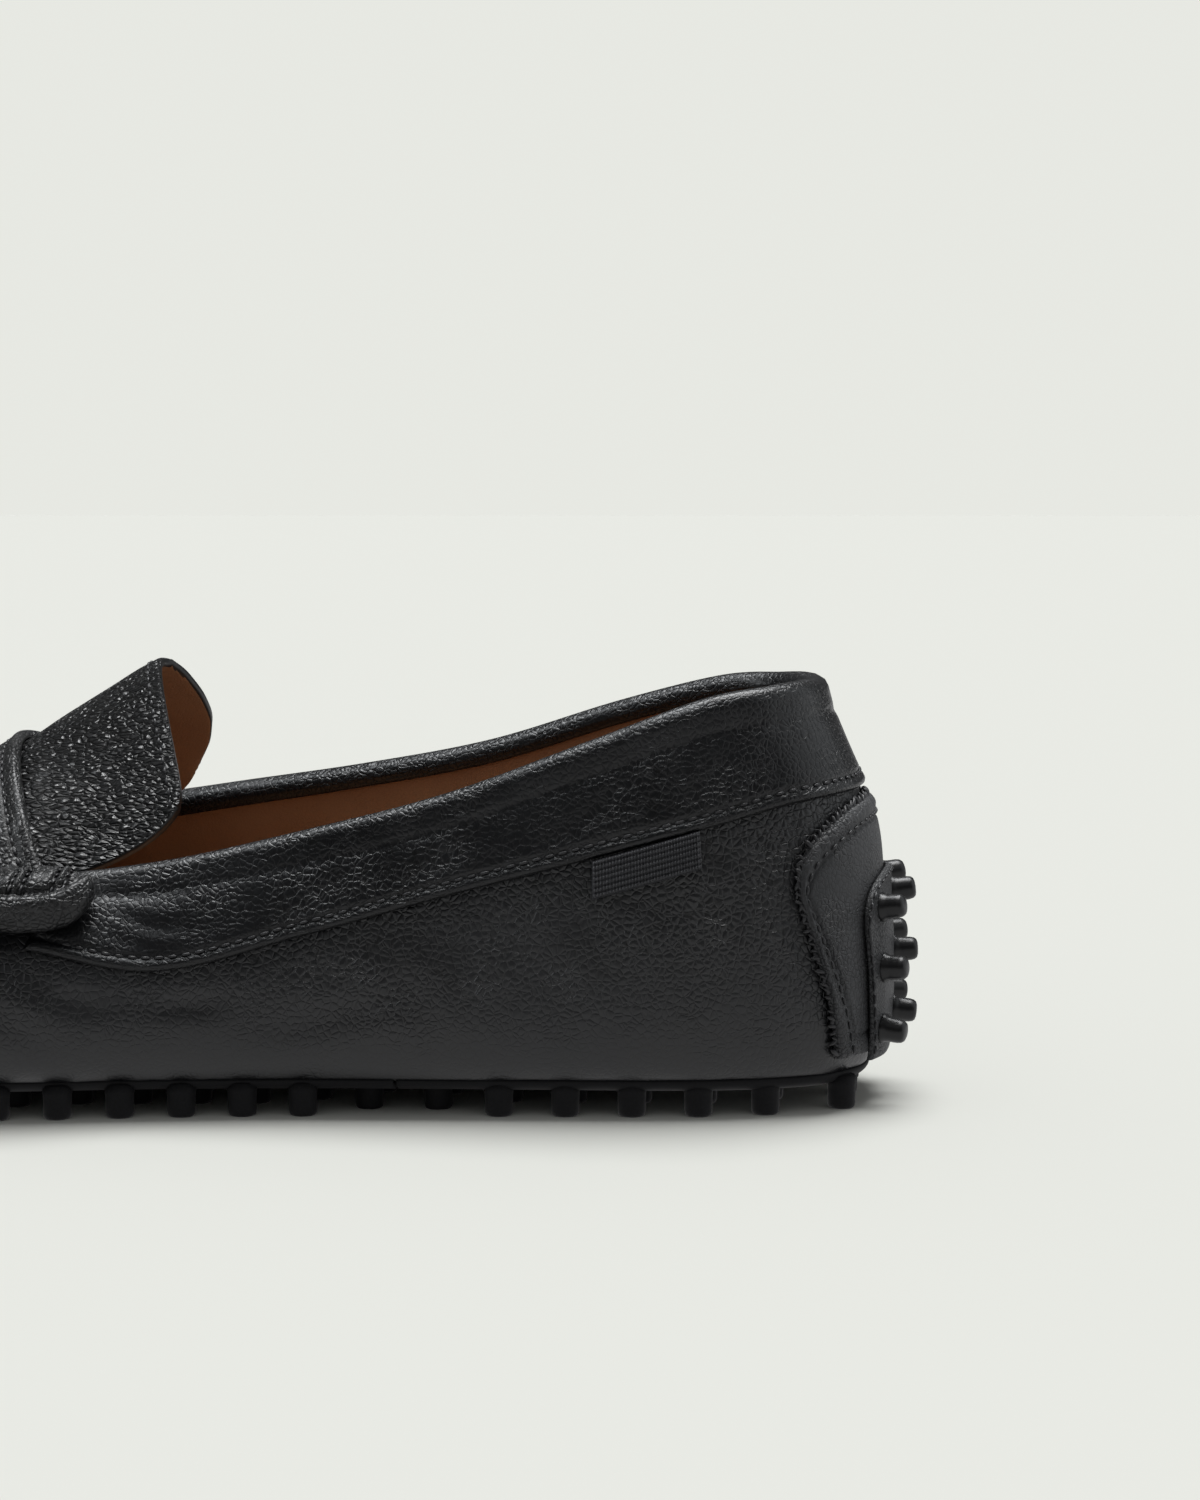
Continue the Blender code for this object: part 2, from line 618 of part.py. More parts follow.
def build():
    clear_scene()
    shoe = bpy.data.collections.new("driving_moccasin")
    cutters = bpy.data.collections.new("cutters")
    bpy.context.scene.collection.children.link(shoe)
    bpy.context.scene.collection.children.link(cutters)
    leather = {}
    for name in ("upper", "apron_tongue", "collar_band", "saddle_strap", "beef_roll_outer"):
        leather[name] = make_material(name, (0.02, 0.02, 0.022), 0.45)
    for name in ("beef_roll_inner", "heel_counter", "heel_patch", "toe_seam"):
        leather[name] = make_material(name, (0.02, 0.02, 0.022), 0.45)
    rubber = make_material("outsole", (0.015, 0.015, 0.016), 0.6)
    sock = make_material("insole", (0.26, 0.12, 0.05), 0.6)
    webbing = make_material("ribbon_tab", (0.02, 0.02, 0.022), 0.8)

    bowl_solid("upper", -leather_wall, 0.0, 1.0, 9, 5, shoe, leather["upper"])
    sock_low = -leather_wall - fit_gap
    bowl_solid("insole", sock_low - sock_thickness, sock_low, 0.0, 0, 5, shoe, sock)
    pad_units(shoe, cutters, rubber)

    surface = apron_surface(17)
    normals = grid_normals(surface)
    if normals[8, 8, 2] < 0:
        normals = -normals
    normals[-1] = normals[-2, 8]
    sheet_solid("apron_tongue", surface - normals * tongue_thickness, surface, shoe, leather["apron_tongue"])
    strap(shoe, cutters, surface, leather["saddle_strap"])

    collar_band(shoe, leather["collar_band"])
    sizes = (heel_overlay_low_z, fit_gap, counter_thickness)
    heel_overlay("heel_counter", counter_halves, counter_tops, sizes, 19, 9, shoe, leather["heel_counter"])
    patch_distance = 2 * fit_gap + counter_thickness
    sizes = (patch_low_z, patch_distance, patch_thickness)
    patch = heel_overlay("heel_patch", patch_halves, patch_tops, sizes, 11, 5, shoe, leather["heel_patch"])
    add_boolean(patch, back_studs(cutters, patch_distance), "UNION")
    settle(patch)
    beef_roll("beef_roll_outer", 1, shoe, leather["beef_roll_outer"])
    beef_roll("beef_roll_inner", -1, shoe, leather["beef_roll_inner"])
    toe_seam(shoe, leather["toe_seam"])
    ribbon(shoe, webbing)

    for item in cutters.objects:
        item.hide_render = True
        item.display_type = "WIRE"
    centre_all(shoe)
    for item in shoe.objects:
        print(item.name, "triangles", sum(len(face.vertices) - 2 for face in item.data.polygons))


build()
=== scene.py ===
import json
import math
import bmesh
import bpy
import numpy as np
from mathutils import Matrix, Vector

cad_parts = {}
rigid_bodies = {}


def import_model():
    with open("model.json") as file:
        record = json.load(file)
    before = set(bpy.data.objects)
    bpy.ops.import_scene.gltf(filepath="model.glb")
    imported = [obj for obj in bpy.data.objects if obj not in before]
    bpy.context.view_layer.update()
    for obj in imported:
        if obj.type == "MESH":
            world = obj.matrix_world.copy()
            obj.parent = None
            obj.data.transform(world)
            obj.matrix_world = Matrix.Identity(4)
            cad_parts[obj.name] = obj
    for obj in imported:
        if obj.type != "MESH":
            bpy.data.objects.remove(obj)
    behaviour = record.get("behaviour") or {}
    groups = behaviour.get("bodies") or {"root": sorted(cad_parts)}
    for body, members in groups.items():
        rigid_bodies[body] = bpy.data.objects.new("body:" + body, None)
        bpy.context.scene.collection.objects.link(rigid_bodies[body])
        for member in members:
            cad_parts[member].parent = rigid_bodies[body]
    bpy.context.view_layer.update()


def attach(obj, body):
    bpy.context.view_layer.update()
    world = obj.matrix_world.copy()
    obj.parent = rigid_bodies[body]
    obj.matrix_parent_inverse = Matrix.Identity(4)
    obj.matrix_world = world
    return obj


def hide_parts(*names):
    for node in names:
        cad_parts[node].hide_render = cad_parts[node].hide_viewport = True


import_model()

mm = 0.001
# shoe sizes below are in mm: x from the back of the heel, y to the outer side, z up from the floor
shoeMiddle = np.array([138.694, 0.195, 0.0])
wall = 2.0
fit = 0.3

# the last: one row per section, the same shape as the CAD
# widest x, y, z, tuck of the tread, tread z, rim x, y, z, how late the wall leans in, band edge z
outerSections = [
    (3.0, 0.0, 24.0, 4.2, 6.0, 13.6, 0.0, 72.9, 1.60, 60.3),
    (5.0, 12.3, 23.0, 4.4, 6.0, 14.9, 10.2, 73.1, 1.60, 59.4),
    (12.2, 23.2, 22.0, 4.8, 6.0, 20.0, 19.0, 72.5, 1.60, 56.6),
    (28.0, 29.8, 21.0, 5.4, 6.0, 31.5, 25.0, 70.4, 1.60, 51.4),
    (50.0, 32.6, 20.0, 6.0, 6.0, 51.0, 27.6, 63.2, 1.60, 45.3),
    (75.0, 34.6, 19.0, 6.5, 6.0, 75.5, 29.2, 54.2, 1.60, 38.7),
    (100.0, 37.0, 19.0, 7.0, 6.0, 100.0, 30.8, 47.8, 1.70, 31.8),
    (125.0, 41.0, 19.0, 7.5, 6.0, 124.0, 32.6, 42.6, 1.85, 26.0),
    (150.0, 46.5, 19.0, 8.0, 6.0, 147.0, 34.2, 40.0, 2.00, 30.0),
    (175.0, 50.0, 19.0, 8.5, 6.0, 170.0, 35.0, 40.6, 2.10, 30.0),
    (200.0, 49.8, 19.0, 8.5, 6.0, 192.0, 34.4, 40.4, 2.10, 30.0),
    (224.0, 45.5, 19.5, 8.5, 6.6, 213.0, 31.5, 39.5, 2.10, 30.0),
    (246.0, 37.5, 20.5, 8.5, 8.4, 231.5, 26.0, 38.5, 2.10, 30.0),
    (264.0, 27.0, 21.5, 8.5, 10.6, 246.0, 18.5, 37.3, 2.10, 30.0),
    (276.5, 13.0, 22.3, 8.5, 12.4, 255.5, 8.5, 36.3, 2.10, 30.0),
    (281.5, -3.0, 22.8, 8.5, 13.0, 259.5, -2.5, 36.0, 2.10, 30.0),
]
innerSections = [
    (5.0, -12.3, 23.0, 4.4, 6.0, 14.9, -10.2, 73.4, 1.60, 59.8),
    (12.2, -22.8, 22.0, 4.8, 6.0, 20.0, -18.8, 73.0, 1.60, 57.6),
    (28.0, -29.2, 21.0, 5.6, 6.0, 31.5, -24.6, 72.0, 1.60, 53.6),
    (50.0, -31.6, 21.0, 7.0, 6.4, 51.0, -27.0, 67.0, 1.60, 49.0),
    (75.0, -32.2, 22.0, 9.0, 7.6, 75.5, -28.0, 59.4, 1.60, 43.4),
    (100.0, -33.2, 22.0, 10.0, 8.4, 100.0, -29.0, 54.6, 1.70, 37.0),
    (125.0, -36.8, 21.0, 9.5, 7.6, 124.0, -30.4, 51.0, 1.85, 31.5),
    (150.0, -41.5, 20.0, 9.0, 6.4, 147.0, -32.0, 47.6, 2.00, 34.0),
    (175.0, -47.0, 19.0, 8.5, 6.0, 170.0, -33.4, 44.8, 2.10, 30.0),
    (200.0, -50.0, 19.0, 8.5, 6.0, 192.0, -34.2, 42.2, 2.10, 30.0),
    (224.0, -47.6, 19.5, 8.5, 6.6, 213.0, -32.4, 40.0, 2.10, 30.0),
    (246.0, -41.4, 20.5, 8.5, 8.4, 231.5, -28.0, 38.6, 2.10, 30.0),
    (264.0, -32.2, 21.5, 8.5, 10.6, 246.0, -21.5, 37.3, 2.10, 30.0),
    (276.5, -19.5, 22.3, 8.5, 12.4, 255.5, -13.0, 36.3, 2.10, 30.0),
]
sectionLoop = np.array(outerSections + innerSections[::-1])
# ridge x, z, outer edge x, y, z, inner edge x, y, z
tongueRows = [
    (132.7, 78.2, 122.5, 27.0, 54.0, 129.5, -25.6, 56.5),
    (137.0, 75.9, 125.0, 27.5, 49.5, 131.0, -25.8, 53.4),
    (142.0, 72.7, 130.0, 28.0, 45.5, 134.5, -26.0, 50.6),
    (147.0, 69.6, 137.0, 28.8, 42.6, 138.0, -26.8, 48.9),
    (151.5, 66.8, 142.5, 31.0, 41.0, 143.0, -28.8, 48.0),
]
# ridge x, z, and the station of the rim the row meets
apronRows = [
    (155.5, 64.0, 8.0), (161.0, 60.7, 8.35), (168.0, 56.6, 8.75), (176.0, 52.4, 9.15),
    (186.0, 49.2, 9.6), (198.0, 47.0, 10.15), (212.0, 45.6, 10.8), (226.0, 43.9, 11.5),
    (239.0, 41.5, 12.3), (249.0, 39.2, 13.2), (255.5, 37.3, 14.1), (259.2, 36.3, 15.0),
]
stationCount = 30
turnShare = 0.4


def curveThrough(a, b, c, d, t):
    # the smooth curve from b to c, with a before them and d after them
    return 0.5 * (2 * b + (c - a) * t + (2 * a - 5 * b + 4 * c - d) * t**2 + (3 * b - a - 3 * c + d) * t**3)


def sectionAt(stations):
    stations = np.asarray(stations, dtype=float) % stationCount
    base = np.floor(stations).astype(int)
    t = (stations - base)[..., None]
    return curveThrough(*(sectionLoop[(base + k) % stationCount] for k in (-1, 0, 1, 2)), t)


def wrapPoint(stations, turn):
    stations, turn = np.broadcast_arrays(np.asarray(stations, float), np.asarray(turn, float))
    row = sectionAt(stations)
    tangent = sectionAt(stations + 0.02)[..., :2] - sectionAt(stations - 0.02)[..., :2]
    tangent /= np.linalg.norm(tangent, axis=-1, keepdims=True)
    outward = np.stack([-tangent[..., 1], tangent[..., 0]], axis=-1)
    angle = np.clip(turn / turnShare, 0, 1) * math.pi / 2
    tuck = row[..., 3] * (1 - np.sin(angle) ** (2 / 2.4))
    lowZ = row[..., 4] + (row[..., 2] - row[..., 4]) * (1 - np.clip(np.cos(angle), 0, 1) ** (2 / 2.4))
    climb = np.clip((turn - turnShare) / (1 - turnShare), 0, 1)
    lean = climb ** row[..., 8]
    plan = row[..., :2] - outward * tuck[..., None] + (row[..., 5:7] - row[..., :2]) * lean[..., None]
    return np.concatenate([plan, (lowZ + (row[..., 7] - row[..., 2]) * climb)[..., None]], axis=-1)


def wrapNormal(stations, turn):
    stations, turn = np.broadcast_arrays(np.asarray(stations, float), np.asarray(turn, float))
    up = wrapPoint(stations, np.clip(turn + 0.004, 0, 1)) - wrapPoint(stations, np.clip(turn - 0.004, 0, 1))
    along = wrapPoint(stations + 0.03, turn) - wrapPoint(stations - 0.03, turn)
    n = np.cross(up, along)
    return n / np.linalg.norm(n, axis=-1, keepdims=True)


def wrapOffset(stations, turn, distance):
    return wrapPoint(stations, turn) + wrapNormal(stations, turn) * np.asarray(distance, float)[..., None]


def turnAtHeight(stations, height):
    row = sectionAt(stations)
    climb = (height - row[..., 2]) / (row[..., 7] - row[..., 2])
    share = np.clip((height - row[..., 4]) / (row[..., 2] - row[..., 4]), 0, 1)
    low = turnShare * np.arccos(np.clip(1 - share, 0, 1) ** 1.2) / (math.pi / 2)
    return np.where(height >= row[..., 2], turnShare + (1 - turnShare) * climb, low)


def gridNormals(grid, toward=None):
    n = np.cross(np.gradient(grid, axis=0), np.gradient(grid, axis=1))
    n /= np.maximum(np.linalg.norm(n, axis=-1, keepdims=True), 1e-12)
    if toward is not None:
        i, j = grid.shape[0] // 2, grid.shape[1] // 2
        if np.dot(n[i, j], toward) < 0:
            n = -n
    return n


def spread(count, ends=0.5):
    # more samples near both ends, for the rounded edges
    t = np.linspace(0, 1, count)
    return (1 - ends) * t + ends * (0.5 - 0.5 * np.cos(math.pi * t))


def wobble(points, size, seed):
    # smooth softness of hide, -1 to 1, from a few crossing waves
    rng = np.random.default_rng(seed)
    total = np.zeros(points.shape[:-1])
    for k in range(9):
        direction = rng.normal(size=3)
        direction /= np.linalg.norm(direction)
        wave = 2 * math.pi / (size * rng.uniform(0.6, 1.6))
        bend = 0.6 * np.sin(points @ rng.normal(size=3) * 0.7 / size + rng.uniform(0, 6))
        total += np.sin(points @ direction * wave + rng.uniform(0, 6) + bend)
    return total / 5.0


def bell(at, middle, width):
    return np.exp(-(((at - middle) / width) ** 2))


def creaseHeight(points, creases):
    # a crease is a line of points in x and z, then its width, its depth and the side of the
    # shoe it is on, 1 outer, -1 inner or 0 both; a lip stands beside each trough
    total = np.zeros(points.shape[:-1])
    flat = points[..., [0, 2]]
    for *path, width, depth, side in creases:
        onSide = 1 / (1 + np.exp(-side * points[..., 1] / 3.0)) if side else 1.0
        path = np.array(path, float)
        nearest = np.full(points.shape[:-1], 1e9)
        share = np.zeros(points.shape[:-1])
        parts = len(path) - 1
        for k in range(parts):
            start, step = path[k], path[k + 1] - path[k]
            t = np.clip(((flat - start) @ step) / (step @ step), 0, 1)
            gap = np.linalg.norm(flat - start - t[..., None] * step, axis=-1)
            share = np.where(gap < nearest, (k + t) / parts, share)
            nearest = np.minimum(gap, nearest)
        fade = np.sin(np.clip(share, 0.001, 0.999) * math.pi) ** 0.6
        trough = 0.45 * bell(nearest, 1.9 * width, 1.1 * width) - bell(nearest, 0, width)
        total += depth * trough * fade * onSide
    return total


# how much fuller the very back of the heel is than the sections, in mm: all over, and at two heights
heelRound = {"base": 1.2, "middle": (2.1, 51.0, 14.0), "foot": (0.9, 4.0, 9.0), "from": 20.0, "over": 16.0}


def rowPoints(points):
    # the heel's fullness, then the shoe's own frame in metres
    points = np.array(points, dtype=float).reshape(-1, 3)
    near = np.clip((heelRound["from"] - points[:, 0]) / heelRound["over"], 0, 1)
    full = heelRound["base"]
    for much, height, width in (heelRound["middle"], heelRound["foot"]):
        full = full + much * bell(points[:, 2], height, width)
    points[:, 0] -= near * near * (3 - 2 * near) * full
    return (points - shoeMiddle) * mm


def addObject(name, data):
    obj = bpy.data.objects.new(name, data)
    bpy.context.scene.collection.objects.link(obj)
    return obj


class Shape:
    # a mesh built from grids of points, each with its paint, the number of its material
    def __init__(self):
        self.points, self.faces, self.paint = [], [], []
        self.count = 0

    def grid(self, grid, paint=0, flip=False):
        rows, cols = grid.shape[:2]
        i, j = np.meshgrid(np.arange(rows - 1), np.arange(cols - 1), indexing="ij")
        a = self.count + i * cols + j
        quads = np.stack([a, a + 1, a + cols + 1, a + cols], axis=-1)
        if flip:
            quads = quads[..., ::-1]
        self.points.append(rowPoints(grid))
        self.count += rows * cols
        self.faces.extend(quads.reshape(-1, 4).tolist())
        self.paint.extend(np.broadcast_to(paint, (rows - 1, cols - 1)).ravel().tolist())

    def cap(self, ring):
        # closes a ring at its middle
        self.grid(np.stack([ring, np.broadcast_to(ring[:-1].mean(axis=0), ring.shape)]))

    def make(self, name, materials):
        mesh = bpy.data.meshes.new(name)
        mesh.from_pydata(np.concatenate(self.points).tolist(), [], self.faces)
        mesh.polygons.foreach_set("material_index", self.paint)
        for m in materials:
            mesh.materials.append(m)
        work = bmesh.new()
        work.from_mesh(mesh)
        bmesh.ops.remove_doubles(work, verts=work.verts, dist=2e-6)
        bmesh.ops.recalc_face_normals(work, faces=work.faces)
        work.to_mesh(mesh)
        work.free()
        mesh.shade_smooth()
        return addObject(name, mesh)


def arcLength(points, axis=0):
    # mm from the first point, along one axis of a line or a grid
    step = np.linalg.norm(np.diff(points, axis=axis), axis=-1)
    start = np.zeros_like(np.take(step, [0], axis=axis))
    return np.concatenate([start, np.cumsum(step, axis=axis)], axis=axis)


def valueAt(at, arc, values):
    # the point or facing at an arc length along a line
    return np.stack([np.interp(at, arc, values[:, k]) for k in range(3)], axis=-1)


def edgeRounding(grid, radius):
    # 0 at the sheet's edge, 1 from one radius in, along a quarter circle
    fromA, fromB = arcLength(grid), arcLength(grid, axis=1)
    gap = np.minimum(np.minimum(fromA, fromA[-1:] - fromA), np.minimum(fromB, fromB[:, -1:] - fromB))
    t = np.clip(gap / radius, 0, 1)
    return np.sqrt(np.clip(1 - (1 - t) ** 2, 0, 1))


def softSheet(name, under, normals, height, radius, materials, sidePaint=0):
    # a sheet with rounded edges: height may be a number or a field in mm
    lift = np.asarray(height) * (0.25 + 0.75 * edgeRounding(under, radius))
    over = under + normals * lift[..., None]
    shape = Shape()
    shape.grid(under, flip=True)
    shape.grid(over)
    for edge in (np.s_[0, :], np.s_[-1, :], np.s_[:, 0], np.s_[:, -1]):
        shape.grid(np.stack([under[edge], over[edge]]), sidePaint)
    return shape.make(name, materials), over


def dress(obj, slot, *nodes):
    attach(obj, "root")
    if nodes:
        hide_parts(*nodes)


def evaluated(obj):
    # the object's mesh with its modifiers applied
    return bpy.data.meshes.new_from_object(obj.evaluated_get(bpy.context.evaluated_depsgraph_get()))


def cutWith(obj, cutter, operation):
    modifier = obj.modifiers.new("cut", "BOOLEAN")
    modifier.operation, modifier.solver, modifier.object = operation, "EXACT", cutter
    done = evaluated(obj)
    obj.modifiers.remove(modifier)
    obj.data = done
    bpy.data.objects.remove(cutter, do_unlink=True)
    done.shade_smooth()


def setInputs(tree, node, inputs):
    # gives each input a value, or wires it to another node's output
    for key, value in inputs.items():
        if isinstance(value, bpy.types.NodeSocket):
            tree.links.new(value, node.inputs[key])
        else:
            node.inputs[key].default_value = value


def newNode(tree, kind, inputs=None, **settings):
    node = tree.nodes.new(kind)
    for key, value in settings.items():
        setattr(node, key, value)
    setInputs(tree, node, inputs or {})
    return node


def ranged(tree, value, low, high, toLow=0.0, toHigh=1.0, **settings):
    inputs = {"Value": value, "From Min": low, "From Max": high, "To Min": toLow, "To Max": toHigh}
    return newNode(tree, "ShaderNodeMapRange", inputs, **settings).outputs["Result"]


def blend(tree, factor, low, high):
    # from one colour or output to another
    low, high = ((*c, 1) if isinstance(c, tuple) else c for c in (low, high))
    inputs = {"Factor": factor, "A": low, "B": high}
    return newNode(tree, "ShaderNodeMix", inputs, data_type="RGBA").outputs["Result"]


# pebbled hide: rounded cells with fine creases between them, deeper ones here and there, soft folds and pores
grainSpec = {
    "warp": {"Scale": 330.0, "Detail": 1.5}, "warpReach": 0.0012,
    "largeShare": 0.4, "domeSteep": 2.4, "deepSteep": 7.0,
    "patchy": {"Scale": 90.0, "Detail": 2.0},
    "folds": {"Scale": 150.0, "Detail": 2.0, "Roughness": 0.5, "Distortion": 0.5},
    "pores": {"Scale": 3000.0, "Detail": 1.0},
    "wear": {"Scale": 38.0, "Detail": 3.0, "Roughness": 0.55},
}


def grainGroup():
    tree = bpy.data.node_groups.new("pebbledHide", "ShaderNodeTree")
    tree.interface.new_socket(name="Vector", in_out="INPUT", socket_type="NodeSocketVector")
    for name in ("Pebble Size", "Crease Width", "Folds", "Pores", "Unevenness"):
        tree.interface.new_socket(name=name, in_out="INPUT", socket_type="NodeSocketFloat")
    for name in ("Height", "Crease", "Wear"):
        tree.interface.new_socket(name=name, in_out="OUTPUT", socket_type="NodeSocketFloat")
    start = tree.nodes.new("NodeGroupInput").outputs

    def noise(name):
        return newNode(tree, "ShaderNodeTexNoise", {"Vector": start["Vector"], **grainSpec[name]}).outputs

    def vectors(operation, inputs):
        return newNode(tree, "ShaderNodeVectorMath", inputs, operation=operation).outputs[0]

    def maths(operation, *values, clamp=False):
        inputs = dict(enumerate(values))
        return newNode(tree, "ShaderNodeMath", inputs, operation=operation, use_clamp=clamp).outputs[0]

    def cellEdges(scale):
        inputs = {"Vector": moved, "Scale": scale}
        return newNode(tree, "ShaderNodeTexVoronoi", inputs, feature="DISTANCE_TO_EDGE").outputs["Distance"]

    shift = vectors("SUBTRACT", {0: noise("warp")["Color"], 1: (0.5, 0.5, 0.5)})
    shift = vectors("SCALE", {0: shift, "Scale": grainSpec["warpReach"]})
    moved = vectors("ADD", {0: start["Vector"], 1: shift})
    small = cellEdges(start["Pebble Size"])
    large = cellEdges(maths("MULTIPLY", start["Pebble Size"], grainSpec["largeShare"]))
    dome = maths("POWER", maths("MULTIPLY", small, grainSpec["domeSteep"], clamp=True), 0.62)
    deep = maths("POWER", maths("MULTIPLY", large, grainSpec["deepSteep"], clamp=True), 0.7)
    crease = ranged(tree, small, 0.0, start["Crease Width"], interpolation_type="SMOOTHSTEP")
    least = maths("SUBTRACT", 1.0, start["Unevenness"])
    strength = ranged(tree, noise("patchy")["Fac"], 0.35, 0.65, least, 1.0)
    height = maths("MULTIPLY_ADD", crease, 0.35, maths("MULTIPLY_ADD", deep, 0.4, dome))
    height = maths("MULTIPLY", height, strength)
    height = maths("MULTIPLY_ADD", noise("folds")["Fac"], start["Folds"], height)
    height = maths("MULTIPLY_ADD", noise("pores")["Fac"], start["Pores"], height)
    newNode(tree, "NodeGroupOutput", {"Height": height, "Crease": crease, "Wear": noise("wear")["Fac"]})
    return tree


hideGroup = grainGroup()


def newMaterial(name, colour):
    m = bpy.data.materials.new(name)
    m.use_nodes = True
    m.diffuse_color = (*colour, 1)
    tree = m.node_tree
    return m, tree, tree.nodes["Principled BSDF"], tree.nodes.new("ShaderNodeTexCoord").outputs["Object"]


def hideMaterial(name, spec):
    s = {**hideBase, **spec}
    m, tree, shader, place = newMaterial(name, s["colour"])
    stretch = {"Vector": place, "Rotation": s["lean"], "Scale": s["stretch"]}
    grain = newNode(tree, "ShaderNodeGroup", {
        "Vector": newNode(tree, "ShaderNodeMapping", stretch).outputs["Vector"], "Pebble Size": s["pebbles"],
        "Crease Width": s["crease"], "Folds": s["folds"], "Pores": s["pores"], "Unevenness": s["uneven"],
    }, node_tree=hideGroup).outputs
    # painted shade: the colour darkens towards the creases of the grain, where shade would fall
    creaseShadedTone = blend(tree, grain["Crease"], s["creaseShadeColour"], s["colour"])
    worn = ranged(tree, grain["Wear"], 0.42, 0.72, 0.0, s["wear"])
    height = grain["Height"]
    if "smoothBelow" in s:
        # the hide is pulled smooth towards the tread
        up = newNode(tree, "ShaderNodeSeparateXYZ", {0: place}).outputs["Z"]
        low, high = s["smoothBelow"]
        pulled = ranged(tree, up, low * mm, high * mm, 0.3, interpolation_type="SMOOTHSTEP")
        height = newNode(tree, "ShaderNodeMath", {0: height, 1: pulled}, operation="MULTIPLY").outputs[0]
    bump = {"Strength": s["bump"], "Distance": s["relief"] * mm, "Height": height}
    setInputs(tree, shader, {
        "Base Color": blend(tree, worn, creaseShadedTone, s["wornColour"]),
        "Roughness": ranged(tree, grain["Wear"], 0.3, 0.7, s["roughness"] - 0.05, s["roughness"] + 0.07),
        "Normal": newNode(tree, "ShaderNodeBump", bump).outputs["Normal"],
        "Specular IOR Level": s["specular"], "Sheen Weight": s["sheen"], "Sheen Roughness": 0.45,
        "Coat Weight": s["coat"], "Coat Roughness": s["coatRoughness"],
    })
    return m


hideBase = {
    "folds": 0.8, "pores": 0.05, "wear": 0.5, "bump": 1.0, "specular": 0.5, "sheen": 0.0, "coat": 0.0,
    "coatRoughness": 0.25, "lean": (0.0, 0.0, 0.0), "stretch": (1.0, 1.0, 1.0),
}
wrapHide = hideMaterial("wrapHide", {
    "pebbles": 820.0, "crease": 0.14, "uneven": 0.6, "roughness": 0.40, "relief": 0.19, "specular": 0.6,
    "colour": (0.0062, 0.0067, 0.0080), "creaseShadeColour": (0.0026, 0.0026, 0.0031),
    "wornColour": (0.0098, 0.0108, 0.0132), "coat": 0.14, "coatRoughness": 0.26, "smoothBelow": (11.0, 27.0),
})
vampHide = hideMaterial("vampHide", {
    "pebbles": 860.0, "crease": 0.18, "uneven": 0.12, "roughness": 0.33, "relief": 0.58, "specular": 0.55,
    "colour": (0.0026, 0.0027, 0.0032), "creaseShadeColour": (0.0009, 0.0009, 0.0011),
    "wornColour": (0.0042, 0.0045, 0.0055), "wear": 0.4, "folds": 0.35, "pores": 0.04,
    "coat": 0.03, "coatRoughness": 0.3, "lean": (0.0, 0.5, 0.0), "stretch": (0.6, 1.0, 1.45),
})
bandHide = hideMaterial("bandHide", {
    "pebbles": 900.0, "crease": 0.14, "uneven": 0.7, "roughness": 0.33, "relief": 0.12, "specular": 0.34,
    "colour": (0.0032, 0.0035, 0.0043), "creaseShadeColour": (0.0015, 0.0015, 0.0018),
    "wornColour": (0.0050, 0.0056, 0.007), "folds": 0.7, "coat": 0.24, "coatRoughness": 0.2,
})
rollHide = hideMaterial("rollHide", {
    "pebbles": 950.0, "crease": 0.14, "uneven": 0.6, "roughness": 0.38, "relief": 0.3, "folds": 1.0,
    "colour": (0.0026, 0.0027, 0.0032), "creaseShadeColour": (0.0012, 0.0012, 0.0014),
    "wornColour": (0.0044, 0.0047, 0.0058), "coat": 0.2, "coatRoughness": 0.2,
})
heelHide = hideMaterial("heelHide", {
    "pebbles": 1050.0, "crease": 0.10, "uneven": 0.85, "roughness": 0.5, "relief": 0.26, "pores": 0.08,
    "colour": (0.033, 0.034, 0.0362), "creaseShadeColour": (0.017, 0.017, 0.018),
    "wornColour": (0.048, 0.0495, 0.0525), "wear": 0.6, "bump": 0.9, "sheen": 0.03,
})
tanHide = hideMaterial("tanHide", {
    "pebbles": 1500.0, "crease": 0.08, "uneven": 0.8, "roughness": 0.55, "relief": 0.07, "specular": 0.4,
    "colour": (0.31, 0.158, 0.078), "creaseShadeColour": (0.25, 0.122, 0.058), "wornColour": (0.39, 0.22, 0.118),
    "folds": 0.6, "pores": 0.04, "bump": 0.5, "sheen": 0.1,
})


def plainMaterial(name, s):
    # even stuff with a fine mottled surface: rubber, thread, painted edge
    m, tree, shader, place = newMaterial(name, s["light"])
    fleck = {"Vector": place, "Scale": s["fleckScale"], "Detail": 4.0, "Roughness": 0.6}
    fleck = newNode(tree, "ShaderNodeTexNoise", fleck).outputs["Fac"]
    bump = {"Strength": s["bump"], "Distance": 0.05 * mm, "Height": fleck}
    setInputs(tree, shader, {
        "Base Color": blend(tree, fleck, s["dark"], s["light"]),
        "Roughness": ranged(tree, fleck, 0.0, 1.0, s["roughness"] - 0.06, s["roughness"] + 0.06),
        "Normal": newNode(tree, "ShaderNodeBump", bump).outputs["Normal"],
        "Specular IOR Level": s.get("specular", 0.5),
    })
    return m


